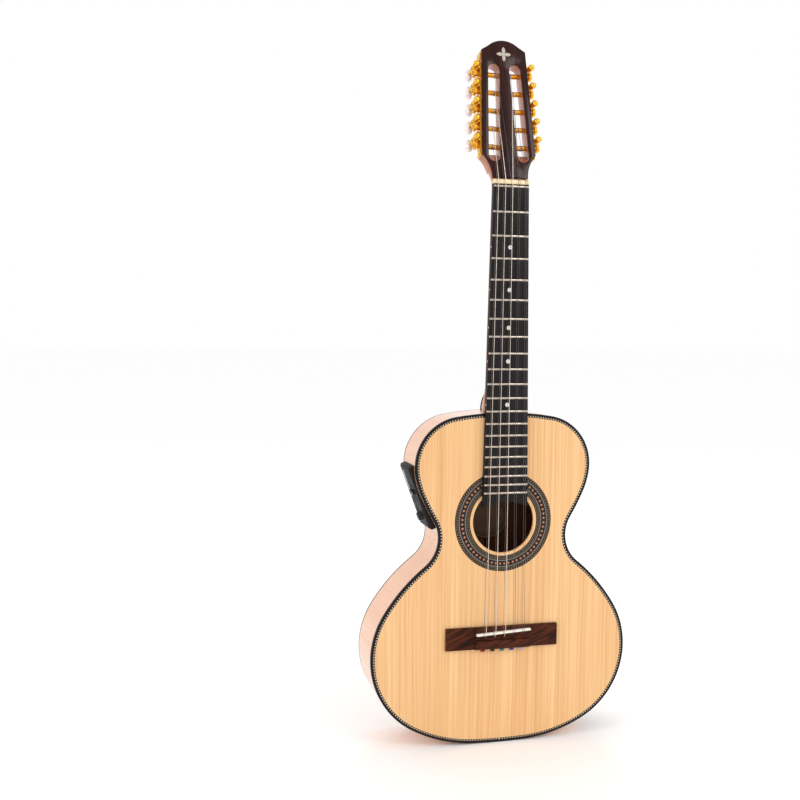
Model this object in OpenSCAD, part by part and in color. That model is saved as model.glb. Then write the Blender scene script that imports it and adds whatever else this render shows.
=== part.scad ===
// Viola caipira: a ten-string, five-course guitar with a slotted head, geared tuners and a side preamp.
// X runs to the treble side, Y from the soundboard to the back, Z from the tail up to the head.

/* [Strings] */
// Speaking length from the saddle to the zero fret
scale_length = 580; // [572:1:584]
// Height of the string line above the soundboard at the saddle
saddle_h = 12.2; // [11:0.1:13]
// Distance between courses at the saddle
course_gap_saddle = 13.4; // [12.5:0.1:14]
// Distance between courses at the nut
course_gap_nut = 9.7; // [9:0.1:10]
// Distance between the two strings of a course at the saddle
pair_gap_saddle = 2.8; // [2.7:0.1:3.2]
// Distance between the two strings of a course at the nut
pair_gap_nut = 2.3; // [2:0.1:2.6]
// Diameter of a wound string
wound_d = 0.8; // [0.5:0.05:1]
// Diameter of a plain string
plain_d = 0.4; // [0.25:0.05:0.5]

/* [Body] */
// Radius of each arc of the half outline, from the tail round the waist to the neck
arc_radii = [707, 194, 110.6, 237, 46.9, 314, 99.5, 66, 403];
// Turn of each arc in degrees; the waist arc turns the other way
arc_turns = [3, 25.7, 92.9, 20, -82.4, 7, 16.6, 87.8, 9.4];
// Full depth of the body at the tail
tail_depth = 84.6; // [82:0.2:88]
// Angle at which the back rises towards the neck, in degrees
back_taper = 3.2; // [3:0.1:3.4]
// Thickness of the soundboard
top_t = 2.8; // [2.4:0.1:3]
// Thickness of the back plates
back_t = 2.6; // [2.2:0.1:3]
// Thickness of the ribs, and width of the bindings
rib_t = 2.2; // [2:0.1:2.4]
// Depth of the bindings
binding_h = 4; // [3.6:0.1:5]
// Width of the rope purfling beside the top binding
purfling_w = 3.2; // [3:0.1:4]
// Width of the strip down the middle of the back
back_strip_w = 5; // [4:0.5:6]

/* [Soundhole and bridge] */
// Distance from the tail to the nominal saddle line
saddle_z = 154.4; // [152:0.2:156]
// Height of the soundhole's centre above the tail
hole_z = 298.5; // [298:0.1:300]
// Radius of the soundhole
hole_r = 42.1; // [41:0.1:43]
// Outer radius of the rosette
rosette_r = 66.9; // [66:0.1:68]
// Inner radius of the rosette
rosette_in_r = 46.1; // [45:0.1:47]
// Length of the bridge
bridge_l = 155; // [150:1:158]
// Width of the bridge along the strings
bridge_w = 29.5; // [29:0.5:31]
// Length of the bridge's raised middle
tie_l = 76; // [74:1:78]
// Length of the saddle
saddle_l = 75; // [74:0.5:75]
// Slant of the saddle in degrees
saddle_slant = 3.36; // [2.5:0.1:3.4]

/* [Neck and fingerboard] */
// Width of the fingerboard at the zero fret
board_w0 = 47.8; // [47:0.1:49]
// Width of the fingerboard at the last fret
board_w20 = 60.5; // [59:0.1:61]
// Thickness of the fingerboard
board_t = 7; // [6.5:0.1:7]
// Number of frets after the zero fret
fret_count = 20; // [18:1:20]
// Height of the fret crowns
fret_h = 1.1; // [0.9:0.1:1.2]
// Neck depth behind the fingerboard at the nut
neck_d0 = 15; // [14:0.5:16]
// Neck depth behind the fingerboard near the heel
neck_d1 = 18.5; // [17:0.5:20]

/* [Head] */
// Backward tilt of the head in degrees
head_tilt = 12; // [11:0.5:13]
// Full thickness of the head
head_t = 19; // [18.5:0.5:20]
// Thickness of the face veneer
veneer_t = 2.5; // [2:0.1:2.6]
// Width of the two string slots
slot_w = 16.1; // [15.6:0.1:16.2]
// Distance between neighbouring rollers
roller_gap = 24.7; // [24.5:0.1:24.8]
// Radius of a roller
roller_r = 3.3; // [3.2:0.1:3.4]
// Depth of the roller axes behind the face
roller_y = 10.5; // [10:0.1:11]
// Teeth on a tuner gear
gear_teeth = 14; // [14:1:16]

/* [Electronics] */
// Length of the preamp panel along the rib
panel_l = 88; // [86:1:90]
// Width of the preamp panel across the rib
panel_w = 48; // [46:1:50]
// Length of the jack plate round the lower bout, in degrees of the bout's arc
plate_turn = 32; // [31:1:33]

/* [Hidden] */
$fn = 96;
eps = 0.01;
far = 900;

BASS = -1;
TREBLE = 1;
inlay_t = 1.2;
front_shift = 36;

// ---- body outline: a chain of tangent arcs, each [centre x, centre z, radius, start heading, turn] ----
function heading(i) = i == 0 ? 0 : heading(i - 1) + arc_turns[i - 1];
function side_sign(i) = arc_turns[i] > 0 ? 1 : -1;
function normal_at(a) = [sin(a), -cos(a)];
function joint_point(i) = i == 0 ? [0, 0]
    : arc_centre(i - 1) + side_sign(i - 1) * arc_radii[i - 1] * normal_at(heading(i));
function arc_centre(i) = joint_point(i) - side_sign(i) * arc_radii[i] * normal_at(heading(i));
waist_arc = 4;
corner_arc = 2;
last_arc = len(arc_radii) - 1;
// A point that every stretch of the outline faces, and three places along a ray from it
heart = [0, 260];
core_reach = 0.6;
ray_reach = 1.1;
wedge_reach = 1.6;
// Every other arc stands this much proud, so that two arcs never end at almost the same point
arc_step = 0.01;

// Where the ray to the start of arc i passes the outline moved outwards by d, times a reach
function ray_point(i, d, reach) =
    let (p = joint_point(i) + d * normal_at(heading(i)), q = [i > last_arc ? 0 : p[0], p[1]])
    heart + reach * (q - heart);

// One wedge of the half body, out to an arc moved outwards by d
module outline_wedge(i, d) {
    inner = [ray_point(i, d, ray_reach), ray_point(i + 1, d, ray_reach)];
    outer = [ray_point(i, d, wedge_reach), ray_point(i + 1, d, wedge_reach)];
    if (i == waist_arc)
        difference() {
            polygon([heart, inner[0], inner[1]]);
            translate(arc_centre(i)) circle(arc_radii[i] - d, $fn = 180);
        }
    else
        intersection() {
            translate(arc_centre(i)) circle(arc_radii[i] + d + arc_step * (i % 2), $fn = 360);
            polygon([heart, inner[0], outer[0], outer[1], inner[1]]);
        }
}

module half_outline(d) {
    for (i = [0 : last_arc]) outline_wedge(i, d);
    core = [for (i = [0 : last_arc + 1]) ray_point(i, d, core_reach)];
    // a little past the centre line, so that the two halves join
    polygon(concat([[-1, core[0][1]]], core, [[-1, core[last_arc + 1][1]]]));
}

module outline(d = 0) {
    half_outline(d);
    mirror([1, 0]) half_outline(d);
}

module outline_ring(d_out, d_in) {
    difference() {
        outline(d_out);
        outline(d_in);
    }
}

// Stands a drawing in the XZ plane and gives it depth from y0 to y1
module slab(y0, y1) {
    translate([0, y1, 0]) rotate([90, 0, 0]) linear_extrude(y1 - y0) children();
}

// The space in front of the back's outer face, less a gap
module before_back(gap) {
    translate([0, tail_depth - gap / cos(back_taper), 0]) rotate([back_taper, 0, 0])
        translate([-far / 2, -far, -far / 4]) cube([far, far, far]);
}

function back_y(z) = tail_depth - z * tan(back_taper);

module half_space(side) {
    translate([side > 0 ? 0 : -far, -far / 2, -far / 4]) cube([far, far, 2 * far]);
}

// Every piece is drawn with the soundboard's face at Y 0, then moved to the row's origin
module place() {
    translate([0, -front_shift, 0]) children();
}

// ---- frets and fingerboard ----
function fret_z(n) = saddle_z + scale_length * pow(2, -n / 12);
zero_z = fret_z(0);
last_z = fret_z(20);
function board_w(z) = board_w0 + (board_w20 - board_w0) * (zero_z - z) / (zero_z - last_z);
nut_z = zero_z + 2.8;
nut_t = 6;
board_end_z = 315;
board_arc_r = 71;
board_arc_z = 254.5;
body_top_z = joint_point(last_arc + 1)[1];

// ---- head frame: X across, Y behind the face, Z up the head from the nut line ----
head_y = -3;
head_z = zero_z + 10;
head_apex = 189;
head_low_x = 36.6;
head_low_z = 32.5;
head_high_x = 30.2;
head_high_z = 175;
head_nut_x = 24.3;
dome_r = 30.4;
dome_x = 20.3;
dome_z = 181.3;
neck_arc_r = 44;
splay = atan((head_low_x - head_high_x) / (head_high_z - head_low_z));
slot_low_z = 23;
slot_high_z = 157;
slot_low_x = 19.9;
slot_high_x = 14.1;
function slot_x(z) = slot_low_x + (slot_high_x - slot_low_x) * (z - slot_low_z)
    / (slot_high_z - slot_low_z);
first_roller = 14.2;
function roller_at(k) = first_roller + (k - 1) * roller_gap;
function roller_head_z(k) = head_low_z + roller_at(k) * cos(splay);

module in_head() {
    translate([0, head_y, head_z]) rotate([-head_tilt, 0, 0]) children();
}

// On the side face of the head: X outwards, Z up the edge from the lower corner
module on_side(side) {
    in_head() mirror([side < 0 ? 1 : 0, 0, 0])
        translate([head_low_x, 0, head_low_z]) rotate([0, -splay, 0]) children();
}

function head_point(p) = [p[0],
    head_y + p[1] * cos(head_tilt) + p[2] * sin(head_tilt),
    head_z - p[1] * sin(head_tilt) + p[2] * cos(head_tilt)];

// ---- tuners ----
plate_t = 1.2;
worm_rise = 9;
worm_x = 6.7;
worm_r = 3;
worm_half = 4;
lug_t = 1.4;
shaft_r = 1.5;
gear_r = 5.85;
gear_w = 4;
run_gap = 0.05;
ball_r = 4.3;
knob_r = 5.2;
knob_half = 3.5;
knob_back = 25;
roller_in = 29.2;
wind_r = roller_r + 0.5;
wind_w = 4.5;

// ---- strings: number 0 is on the bass side; 1, 3 and 5 are wound ----
string_count = 10;
wound_strings = [1, 3, 5];
function is_wound(i) = len(search(i, wound_strings)) > 0;
function string_r(i) = (is_wound(i) ? wound_d : plain_d) / 2;
function string_x(i, course_gap, pair_gap) =
    (floor(i / 2) - 2) * course_gap + (i % 2 == 0 ? -1 : 1) * pair_gap / 2;
function string_side(i) = i < 5 ? BASS : TREBLE;
function string_roller(i) = i < 5 ? i + 1 : 10 - i;
function wind_x(k) = [19.6, 17.4, 13.4, 12.4, 10.2][k - 1];
function string_nut_x(i) = abs(string_x(i, course_gap_nut, pair_gap_nut));
// Where a string first passes over the edge of its slot: at the low end, or at the inner edge
function slot_edge_z(i) =
    let (k = string_roller(i), x0 = string_nut_x(i), zr = roller_head_z(k),
        rise = (wind_x(k) - x0) / zr,
        fall = (slot_low_x - slot_high_x) / (slot_high_z - slot_low_z),
        inner0 = slot_low_x + fall * slot_low_z - slot_w / 2)
    max(slot_low_z + 2, (inner0 - x0) / (rise + fall));
tie_z = saddle_z - 25.5;
hole_y = -3.6;
trough_z = saddle_z - 13.5;
string_over_nut = board_t + fret_h + 0.9;

function string_points(i) =
    let (side = string_side(i), k = string_roller(i), r = string_r(i),
        xs = string_x(i, course_gap_saddle, pair_gap_saddle),
        xn = string_x(i, course_gap_nut, pair_gap_nut),
        ze = slot_edge_z(i), zr = roller_head_z(k),
        xe = side * (abs(xn) + (wind_x(k) - abs(xn)) * ze / zr))
    [[xs, hole_y, tie_z + 0.1],
     [xs, hole_y, trough_z + 0.9],
     [xs, -saddle_h - r - 0.2, saddle_line(xs)],
     [xn, -string_over_nut, nut_z + nut_t - 0.6],
     head_point([xe, -0.9, ze]),
     head_point([side * wind_x(k), roller_y - wind_r - r - 0.25, zr - 1])];

function saddle_line(x) = saddle_z - 2.5 + x * tan(saddle_slant);

function unit(v) = v / norm(v);
wire_sides = 8;

// One ring of a wire, square to its direction
function wire_ring(p, dir, r) =
    let (u = unit(cross(dir, [1, 0, 0])), v = cross(dir, u))
    [for (j = [0 : wire_sides - 1]) p + r * (cos(j * 360 / wire_sides) * u
        + sin(j * 360 / wire_sides) * v)];

// A taut wire through a few points
module wire(points, r) {
    last = len(points) - 1;
    legs = [for (i = [0 : last - 1]) unit(points[i + 1] - points[i])];
    dirs = [for (i = [0 : last]) i == 0 ? legs[0] : i == last ? legs[last - 1]
        : unit(legs[i - 1] + legs[i])];
    rings = [for (i = [0 : last]) each wire_ring(points[i], dirs[i], r)];
    sides = [for (i = [0 : last - 1], j = [0 : wire_sides - 1])
        let (a = i * wire_sides + j, b = i * wire_sides + (j + 1) % wire_sides)
        [a, a + wire_sides, b + wire_sides, b]];
    polyhedron(rings, concat(sides, [[for (j = [0 : wire_sides - 1]) j],
        [for (j = [wire_sides - 1 : -1 : 0]) last * wire_sides + j]]));
}

// ---- electronics ----
panel_low = [-93.6, 290];
panel_tilt = 20.5;
panel_proud = 5;
panel_y = 6.5;
panel_bevel = 2.5;
box_in = 24;
box_y = 17;
box_w = 31;
box_z = 9;
box_l = 70;

// On the preamp panel: X inwards from the panel's face, Y deep, Z up the panel
module on_panel() {
    translate([panel_low[0], 0, panel_low[1]]) rotate([0, -panel_tilt, 0])
        translate([-panel_proud, 0, 0]) children();
}

corner_r = arc_radii[corner_arc];
corner_c = arc_centre(corner_arc);
plate_start = -61;
plate_y0 = 12;
plate_y1 = 70;
plate_lip = 3;
door_start = -58.5;
door_turn = 16;
door_gap = 0.35;
door_ledge = 0.5;
jack_at = -34;
jack_bore_r = 3.2;
jack_barrel_r = 5.5;

// On the lower bout's corner: X outwards at a polar angle, Y deep, Z round the bout
module on_corner(angle) {
    translate([corner_c[0], 0, corner_c[1]]) rotate([0, -angle, 0]) children();
}

module corner_wedge(a0, turn) {
    reach = 260;
    translate(corner_c)
        polygon([[0, 0], reach * [cos(a0), sin(a0)],
            reach * [cos(a0 + turn / 2), sin(a0 + turn / 2)],
            reach * [cos(a0 + turn), sin(a0 + turn)]]);
}

module corner_band(r0, r1, a0, turn) {
    intersection() {
        translate(corner_c) difference() {
            circle(r1, $fn = 180);
            circle(r0, $fn = 180);
        }
        corner_wedge(a0, turn);
    }
}

battery_l = 48.5;
battery_w = 26.5;
battery_t = 17.5;
battery_at = door_start + door_turn / 2;
bay_wall = 1.5;
bay_mid_y = (plate_y0 + plate_y1) / 2;
battery_top = corner_r - 1.5;

module bay_block(grow, depth) {
    on_corner(battery_at)
        translate([battery_top - battery_t - depth, bay_mid_y - battery_l / 2 - grow,
            -battery_w / 2 - grow])
            cube([battery_t + depth + 10, battery_l + 2 * grow, battery_w + 2 * grow]);
}

// ---- the sound box ----
module soundboard() {
    place() color([0.93, 0.78, 0.52]) difference() {
        slab(0, top_t) outline(-rib_t);
        slab(-1, top_t + 1) translate([0, hole_z]) circle(hole_r);
        slab(-1, inlay_t) translate([0, hole_z]) difference() {
            circle(rosette_r);
            circle(rosette_in_r);
        }
        slab(-1, inlay_t) outline_ring(-rib_t + 1, -rib_t - purfling_w);
    }
}

module rosette() {
    place() color([0.16, 0.12, 0.1]) slab(0, inlay_t) translate([0, hole_z]) difference() {
        circle(rosette_r);
        circle(rosette_in_r);
    }
}

module top_purfling() {
    place() color([0.75, 0.65, 0.45]) slab(0, inlay_t) outline_ring(-rib_t, -rib_t - purfling_w);
}

module top_binding() {
    place() color([0.1, 0.06, 0.05]) slab(0, binding_h) outline_ring(0, -rib_t);
}

module back_layer(gap_in, gap_out) {
    difference() {
        intersection() {
            slab(10, tail_depth + 5) children();
            before_back(gap_out);
        }
        before_back(gap_in);
    }
}

module back_binding() {
    place() color([0.08, 0.06, 0.05]) back_layer(binding_h, 0) outline_ring(0, -rib_t);
}

module back_plate(side) {
    difference() {
        intersection() {
            back_layer(back_t, 0) outline(-rib_t);
            half_space(side);
        }
        translate([-back_strip_w / 2, 0, -10]) cube([back_strip_w, 2 * tail_depth, 600]);
    }
}

module back_bass() {
    place() color([0.9, 0.68, 0.42]) back_plate(BASS);
}

module back_treble() {
    place() color([0.9, 0.68, 0.42]) back_plate(TREBLE);
}

module back_strip() {
    place() color([0.1, 0.07, 0.05]) intersection() {
        back_layer(back_t, 0) outline(-rib_t);
        translate([-back_strip_w / 2, 0, -10]) cube([back_strip_w, 2 * tail_depth, 600]);
    }
}

module rib(side) {
    intersection() {
        slab(binding_h, tail_depth + 5) outline_ring(0, -rib_t);
        before_back(binding_h);
        half_space(side);
    }
}

module rib_bass() {
    place() color([0.95, 0.8, 0.65]) difference() {
        rib(BASS);
        on_panel() translate([-20, box_y, box_z]) cube([60, box_w, box_l]);
    }
}

module rib_treble() {
    place() color([0.95, 0.8, 0.65]) difference() {
        rib(TREBLE);
        bay_block(bay_wall, bay_wall);
        on_corner(jack_at) translate([0, bay_mid_y, 0]) rotate([0, 90, 0])
            cylinder(r = jack_barrel_r, h = 200);
        jack_plate_screws(1);
    }
}

block_w = 64;
neck_block_z = 408;
tail_block_t = 20;

module block_space(z0, z1) {
    translate([-block_w / 2, 0, z0]) cube([block_w, 2 * tail_depth, z1 - z0]);
}

module end_blocks() {
    place() color([0.8, 0.6, 0.4]) intersection() {
        slab(top_t, tail_depth + 5) outline(-rib_t);
        before_back(back_t);
        union() {
            block_space(neck_block_z, 500);
            block_space(-10, rib_t + tail_block_t);
        }
    }
}

lining_w = 5.5;
lining_h = 12;

module linings() {
    place() color([0.85, 0.68, 0.48]) difference() {
        union() {
            slab(top_t, top_t + lining_h) outline_ring(-rib_t, -rib_t - lining_w);
            back_layer(back_t + lining_h, back_t) outline_ring(-rib_t, -rib_t - lining_w);
        }
        block_space(neck_block_z, 500);
        block_space(-10, rib_t + tail_block_t);
        bay_block(bay_wall, bay_wall);
    }
}

brace_t = 7;
brace_h = 12;
top_bars = [226, 352, 385];
back_bars = [95, 235, 355];
fan_count = 5;

module braces() {
    inside = -rib_t - lining_w;
    place() color([0.92, 0.8, 0.6]) {
        slab(top_t, top_t + brace_h) intersection() {
            outline(inside);
            for (z = top_bars) translate([-far / 2, z]) square([far, brace_t]);
        }
        slab(top_t, top_t + 6) intersection() {
            outline(inside);
            for (i = [0 : fan_count - 1]) {
                lean = (i - (fan_count - 1) / 2) * 9;
                translate([0, 330]) rotate(lean) translate([-2.5, -290])
                    square([5, 330 - top_bars[0] + 70]);
            }
            translate([-far / 2, rib_t + tail_block_t + 8]) square([far, 90]);
        }
        slab(top_t, top_t + 3) translate([-70, saddle_z - 30]) square([140, 38]);
        back_layer(back_t + brace_h, back_t) intersection() {
            outline(inside);
            for (z = back_bars) translate([-far / 2, z]) square([far, brace_t]);
        }
    }
}

// ---- bridge and string fixings ----
wing_h = 4.2;
tie_h = 8.6;
ledge_h = 7.4;
trough_h = 4.6;
saddle_t = 3;
saddle_root = 3.2;

module bridge_section() {
    // drawn as [height above the top, distance above the tail edge of the bridge]
    trough = bridge_w - 17.5;
    polygon([[0, 0], [tie_h - 2.6, 0], [tie_h, 2.6], [tie_h, trough - 0.8], [tie_h - 0.8, trough],
        [trough_h, trough], [trough_h, trough + 4.5], [ledge_h, trough + 6.5],
        [ledge_h, bridge_w - 1.6], [ledge_h - 1.6, bridge_w], [0, bridge_w]]);
}

module wing_section() {
    polygon([[0, 0], [wing_h - 1, 0], [wing_h, 1.2], [wing_h, bridge_w - 1.2],
        [wing_h - 1, bridge_w], [0, bridge_w]]);
}

// Turns a section [height, z] into a bar along X
module bar(x0, x1) {
    translate([x1, 0, tie_z]) rotate([0, 0, 180]) rotate([90, 0, 90])
        linear_extrude(x1 - x0) children();
}

module bridge() {
    place() color([0.24, 0.11, 0.08]) difference() {
        union() {
            bar(-tie_l / 2, tie_l / 2) bridge_section();
            bar(-bridge_l / 2, bridge_l / 2) wing_section();
        }
        translate([0, -saddle_root, saddle_line(0)]) rotate([0, -saddle_slant, 0])
            translate([-saddle_l / 2, -20, -saddle_t / 2]) cube([saddle_l, 20, saddle_t]);
        for (i = [0 : string_count - 1])
            translate([string_x(i, course_gap_saddle, pair_gap_saddle), hole_y, tie_z - 1])
                cylinder(r = 0.8, h = 20, $fn = 24);
    }
}

module saddle() {
    place() color([0.97, 0.95, 0.9]) translate([0, 0, saddle_line(0)]) rotate([0, -saddle_slant, 0]) {
        h = saddle_h - saddle_t / 2;
        translate([-saddle_l / 2, -h, -saddle_t / 2])
            cube([saddle_l, h - saddle_root, saddle_t]);
        translate([-saddle_l / 2, -h, 0]) rotate([0, 90, 0])
            cylinder(r = saddle_t / 2, h = saddle_l, $fn = 32);
    }
}

ball_end_r = 1.9;
ball_end_w = 2.5;

module ball_ends() {
    place() color([0.7, 0.2, 0.2]) for (i = [0 : string_count - 1])
        translate([string_x(i, course_gap_saddle, pair_gap_saddle) - ball_end_w / 2, hole_y,
            tie_z - ball_end_r]) rotate([0, 90, 0])
                cylinder(r = ball_end_r, h = ball_end_w, $fn = 32);
}

module strings(wound) {
    for (i = [0 : string_count - 1])
        if (is_wound(i) == wound) wire(string_points(i), string_r(i));
}

module strings_wound() {
    place() color([0.75, 0.6, 0.4]) strings(true);
}

module strings_plain() {
    place() color([0.8, 0.8, 0.82]) strings(false);
}

// ---- neck ----
module fingerboard_outline() {
    difference() {
        polygon([[-board_w(board_end_z) / 2, board_end_z], [board_w(board_end_z) / 2, board_end_z],
            [board_w(nut_z) / 2, nut_z], [-board_w(nut_z) / 2, nut_z]]);
        translate([0, board_arc_z]) circle(board_arc_r, $fn = 180);
    }
}

fret_tang_t = 0.6;
fret_tang_h = 2;
dot_r = 2.9;
dot_frets = [3, 5, 7, 9, 12];
side_dot_r = 1.1;
function dot_z(n) = (fret_z(n) + fret_z(n - 1)) / 2;

module fingerboard() {
    place() color([0.09, 0.07, 0.07]) difference() {
        slab(-board_t, 0) fingerboard_outline();
        for (n = [0 : fret_count])
            translate([-far / 2, -board_t - 1, fret_z(n) - fret_tang_t / 2])
                cube([far, fret_tang_h + 1, fret_tang_t]);
        for (n = dot_frets) slab(-board_t - 1, -board_t + inlay_t)
            translate([0, dot_z(n)]) circle(dot_r);
        for (n = dot_frets) side_dot(n);
    }
}

module side_dot(n) {
    translate([-board_w(dot_z(n)) / 2 - 1, -board_t / 2, dot_z(n)]) rotate([0, 90, 0])
        cylinder(r = side_dot_r, h = 2.5, $fn = 32);
}

module frets() {
    crown_r = 1.4;
    place() color([0.83, 0.78, 0.66]) for (n = [0 : fret_count]) {
        w = board_w(fret_z(n)) - 0.4;
        lift = n == 0 ? 0.1 : 0;
        translate([-w / 2, -board_t - lift, fret_z(n) - fret_tang_t / 2])
            cube([w, fret_tang_h + lift, fret_tang_t]);
        intersection() {
            translate([-w / 2, crown_r - board_t - fret_h - lift, fret_z(n)]) rotate([0, 90, 0])
                cylinder(r = crown_r, h = w, $fn = 48);
            translate([-far / 2, -board_t - 5, fret_z(n) - 3]) cube([far, 5, 6]);
        }
    }
}

module head_inlay_outline() {
    // a plain four-lobed leaf
    for (a = [0 : 90 : 270]) rotate(a) intersection() {
        translate([-4, 5]) circle(6.4);
        translate([4, 5]) circle(6.4);
    }
}

head_inlay_z = 170;

module inlays() {
    place() color([0.93, 0.93, 0.9]) {
        for (n = dot_frets) slab(-board_t, -board_t + inlay_t)
            translate([0, dot_z(n)]) circle(dot_r);
        for (n = dot_frets) intersection() {
            side_dot(n);
            slab(-board_t, 0) fingerboard_outline();
        }
        in_head() slab(0, inlay_t) translate([0, head_inlay_z]) head_inlay_outline();
    }
}

module nut() {
    w = board_w(nut_z) + 0.4;
    place() color([0.95, 0.9, 0.75]) difference() {
        translate([-w / 2, -string_over_nut + 0.2, nut_z]) cube([w, string_over_nut - 0.2, nut_t]);
        for (i = [0 : string_count - 1])
            translate([string_x(i, course_gap_nut, pair_gap_nut), -string_over_nut, nut_z - 1])
                cylinder(r = string_r(i) + 0.15, h = nut_t + 2, $fn = 24);
        in_head() translate([-50, 0, 0]) cube([100, 40, 40]);
    }
}

module neck_slice(z, w, d) {
    translate([0, 0, z]) linear_extrude(0.1) intersection() {
        scale([w / 2, d]) circle(1, $fn = 40);
        translate([-w, 0]) square([2 * w, d]);
    }
}

// Half-oval slice of the heel, lying across the body's depth
module heel_slice(y, w, l) {
    slab(y, y + 0.1) intersection() {
        translate([0, body_top_z - 2]) scale([w / 2, l]) circle(1, $fn = 40);
        translate([-w, body_top_z - 2]) square([2 * w, l]);
    }
}

heel_cap_t = 1.6;
heel_foot_y = back_y(body_top_z) - 1.7;
heel_steps = [[2, 59, 88], [12, 57, 66], [20, 49, 47], [32, 38, 35], [heel_foot_y - heel_cap_t, 30, 28]];

module head_outline() {
    difference() {
        translate([-head_low_x, 0]) square([2 * head_low_x, head_low_z]);
        for (s = [-1, 1]) translate([s * (head_nut_x + neck_arc_r), 2]) circle(neck_arc_r, $fn = 180);
    }
    polygon([[-head_low_x, head_low_z - eps], [head_low_x, head_low_z - eps],
        [head_high_x, head_high_z], [dome_x, dome_z], [-dome_x, dome_z],
        [-head_high_x, head_high_z]]);
    intersection() {
        translate([0, head_apex - dome_r]) circle(dome_r);
        translate([-dome_x - 0.1, dome_z - 2]) square([2 * dome_x + 0.2, 20]);
    }
}

module slot_outline(side) {
    r = slot_w / 2;
    lean = atan((slot_low_x - slot_high_x) / (slot_high_z - slot_low_z));
    run = slot_high_z - slot_low_z - slot_w;
    translate([side * slot_x(slot_low_z + r), slot_low_z + r]) rotate(side * lean) {
        translate([-r, 0]) square([slot_w, run]);
        circle(r);
        translate([0, run]) circle(r);
    }
}

ramp_turn = 44;

// The slot through the wood, whose low end slopes back as a ramp for the strings
module slot_cut(side) {
    difference() {
        slab(-1, head_t + 1) slot_outline(side);
        translate([-far / 2, veneer_t, slot_low_z + 0.5]) rotate([ramp_turn, 0, 0])
            translate([0, 0, -far]) cube([far, far, far]);
    }
}

module roller_holes(r) {
    for (side = [BASS, TREBLE], k = [1 : 5])
        on_side(side) translate([-roller_in - 0.3, roller_y, roller_at(k)]) rotate([0, 90, 0])
            cylinder(r = r, h = roller_in + 5, $fn = 48);
}

rod_w = 6;
rod_h = 9;

module rod_space() {
    translate([-rod_w / 2, 0, body_top_z + 8]) cube([rod_w, rod_h, head_z - body_top_z]);
}

// Where the head is glued to the neck, along the head from its lower end
head_glue = 12;

module above_glue() {
    in_head() translate([-100, -30, head_glue]) cube([200, 100, 300]);
}

module neck_wood() {
    difference() {
        union() {
            hull() {
                neck_slice(body_top_z + 30, board_w(body_top_z + 30), neck_d1);
                neck_slice(nut_z + nut_t, board_w(nut_z + nut_t), neck_d0);
            }
            hull() {
                neck_slice(nut_z - 12, board_w(nut_z), neck_d0);
                in_head() slab(veneer_t, head_t - 0.5) translate([-head_nut_x, 6])
                    square([2 * head_nut_x, 2]);
            }
            for (i = [0 : len(heel_steps) - 2]) hull() {
                heel_slice(heel_steps[i][0], heel_steps[i][1], heel_steps[i][2]);
                heel_slice(heel_steps[i + 1][0], heel_steps[i + 1][1], heel_steps[i + 1][2]);
            }
            in_head() slab(veneer_t, head_t) head_outline();
        }
        slab(-50, 0.001) translate([-60, 0]) square([120, nut_z + nut_t]);
        slab(-20, 200) outline(0);
        rod_space();
        in_head() for (side = [BASS, TREBLE]) slot_cut(side);
        in_head() translate([-100, -30, -100]) cube([200, 30 + veneer_t, 300]);
        roller_holes(roller_r + 0.5);
        plate_screws(1);
    }
}

module neck() {
    place() color([0.6, 0.3, 0.17]) difference() {
        neck_wood();
        above_glue();
    }
}

module head() {
    place() color([0.6, 0.3, 0.17]) intersection() {
        neck_wood();
        above_glue();
    }
}

module heel_cap() {
    place() color([0.08, 0.06, 0.05]) difference() {
        slab(heel_foot_y - heel_cap_t + 0.1, heel_foot_y + 0.4) intersection() {
            translate([0, body_top_z - 2]) scale([15.4, 28.4]) circle(1, $fn = 48);
            translate([-60, body_top_z - 2]) square([120, 60]);
        }
        slab(-20, 200) outline(0);
    }
}

module head_veneer() {
    place() color([0.17, 0.08, 0.06]) difference() {
        in_head() slab(0, veneer_t) head_outline();
        in_head() for (side = [BASS, TREBLE]) slab(-1, veneer_t + 1) slot_outline(side);
        in_head() slab(-1, inlay_t) translate([0, head_inlay_z]) head_inlay_outline();
        translate([-50, -30, nut_z - 20]) cube([100, 60, 20 + nut_t]);
        in_head() translate([-rod_w / 2, -1, 0]) cube([rod_w, veneer_t + 2, 12]);
    }
}

module truss_rod() {
    place() color([0.6, 0.6, 0.62])
        translate([-rod_w / 2, 0.5, body_top_z + 8]) cube([rod_w, rod_h - 1, head_z - body_top_z - 18]);
}

cover_t = 1.6;
cover_top = 44;
cover_screw_z = 40.8;

module truss_rod_cover() {
    place() color([0.14, 0.08, 0.08]) in_head() difference() {
        slab(-cover_t, 0) {
            polygon([[-12.5, 2], [12.5, 2], [9.4, 14], [6.6, 26], [5, cover_top - 5],
                [-5, cover_top - 5], [-6.6, 26], [-9.4, 14]]);
            translate([0, cover_top - 5]) circle(5);
        }
        slab(-cover_t - 1, 1) translate([0, cover_screw_z]) circle(1);
    }
}

// ---- tuners ----
plate_w = 13.5;
plate_low = -1.5;
plate_high = 139;
screw_r = 1.1;
screw_head_r = 2.2;
screw_l = 7;

module plate_outline() {
    // [behind the face, up the edge]
    difference() {
        translate([roller_y - plate_w / 2, plate_low]) square([plate_w, plate_high - plate_low]);
        for (k = [0 : 5], s = [-1, 1])
            translate([roller_y + s * (plate_w / 2 + 1.6), roller_at(k) + roller_gap / 2 + 4])
                circle(4.2, $fn = 48);
    }
}

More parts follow.
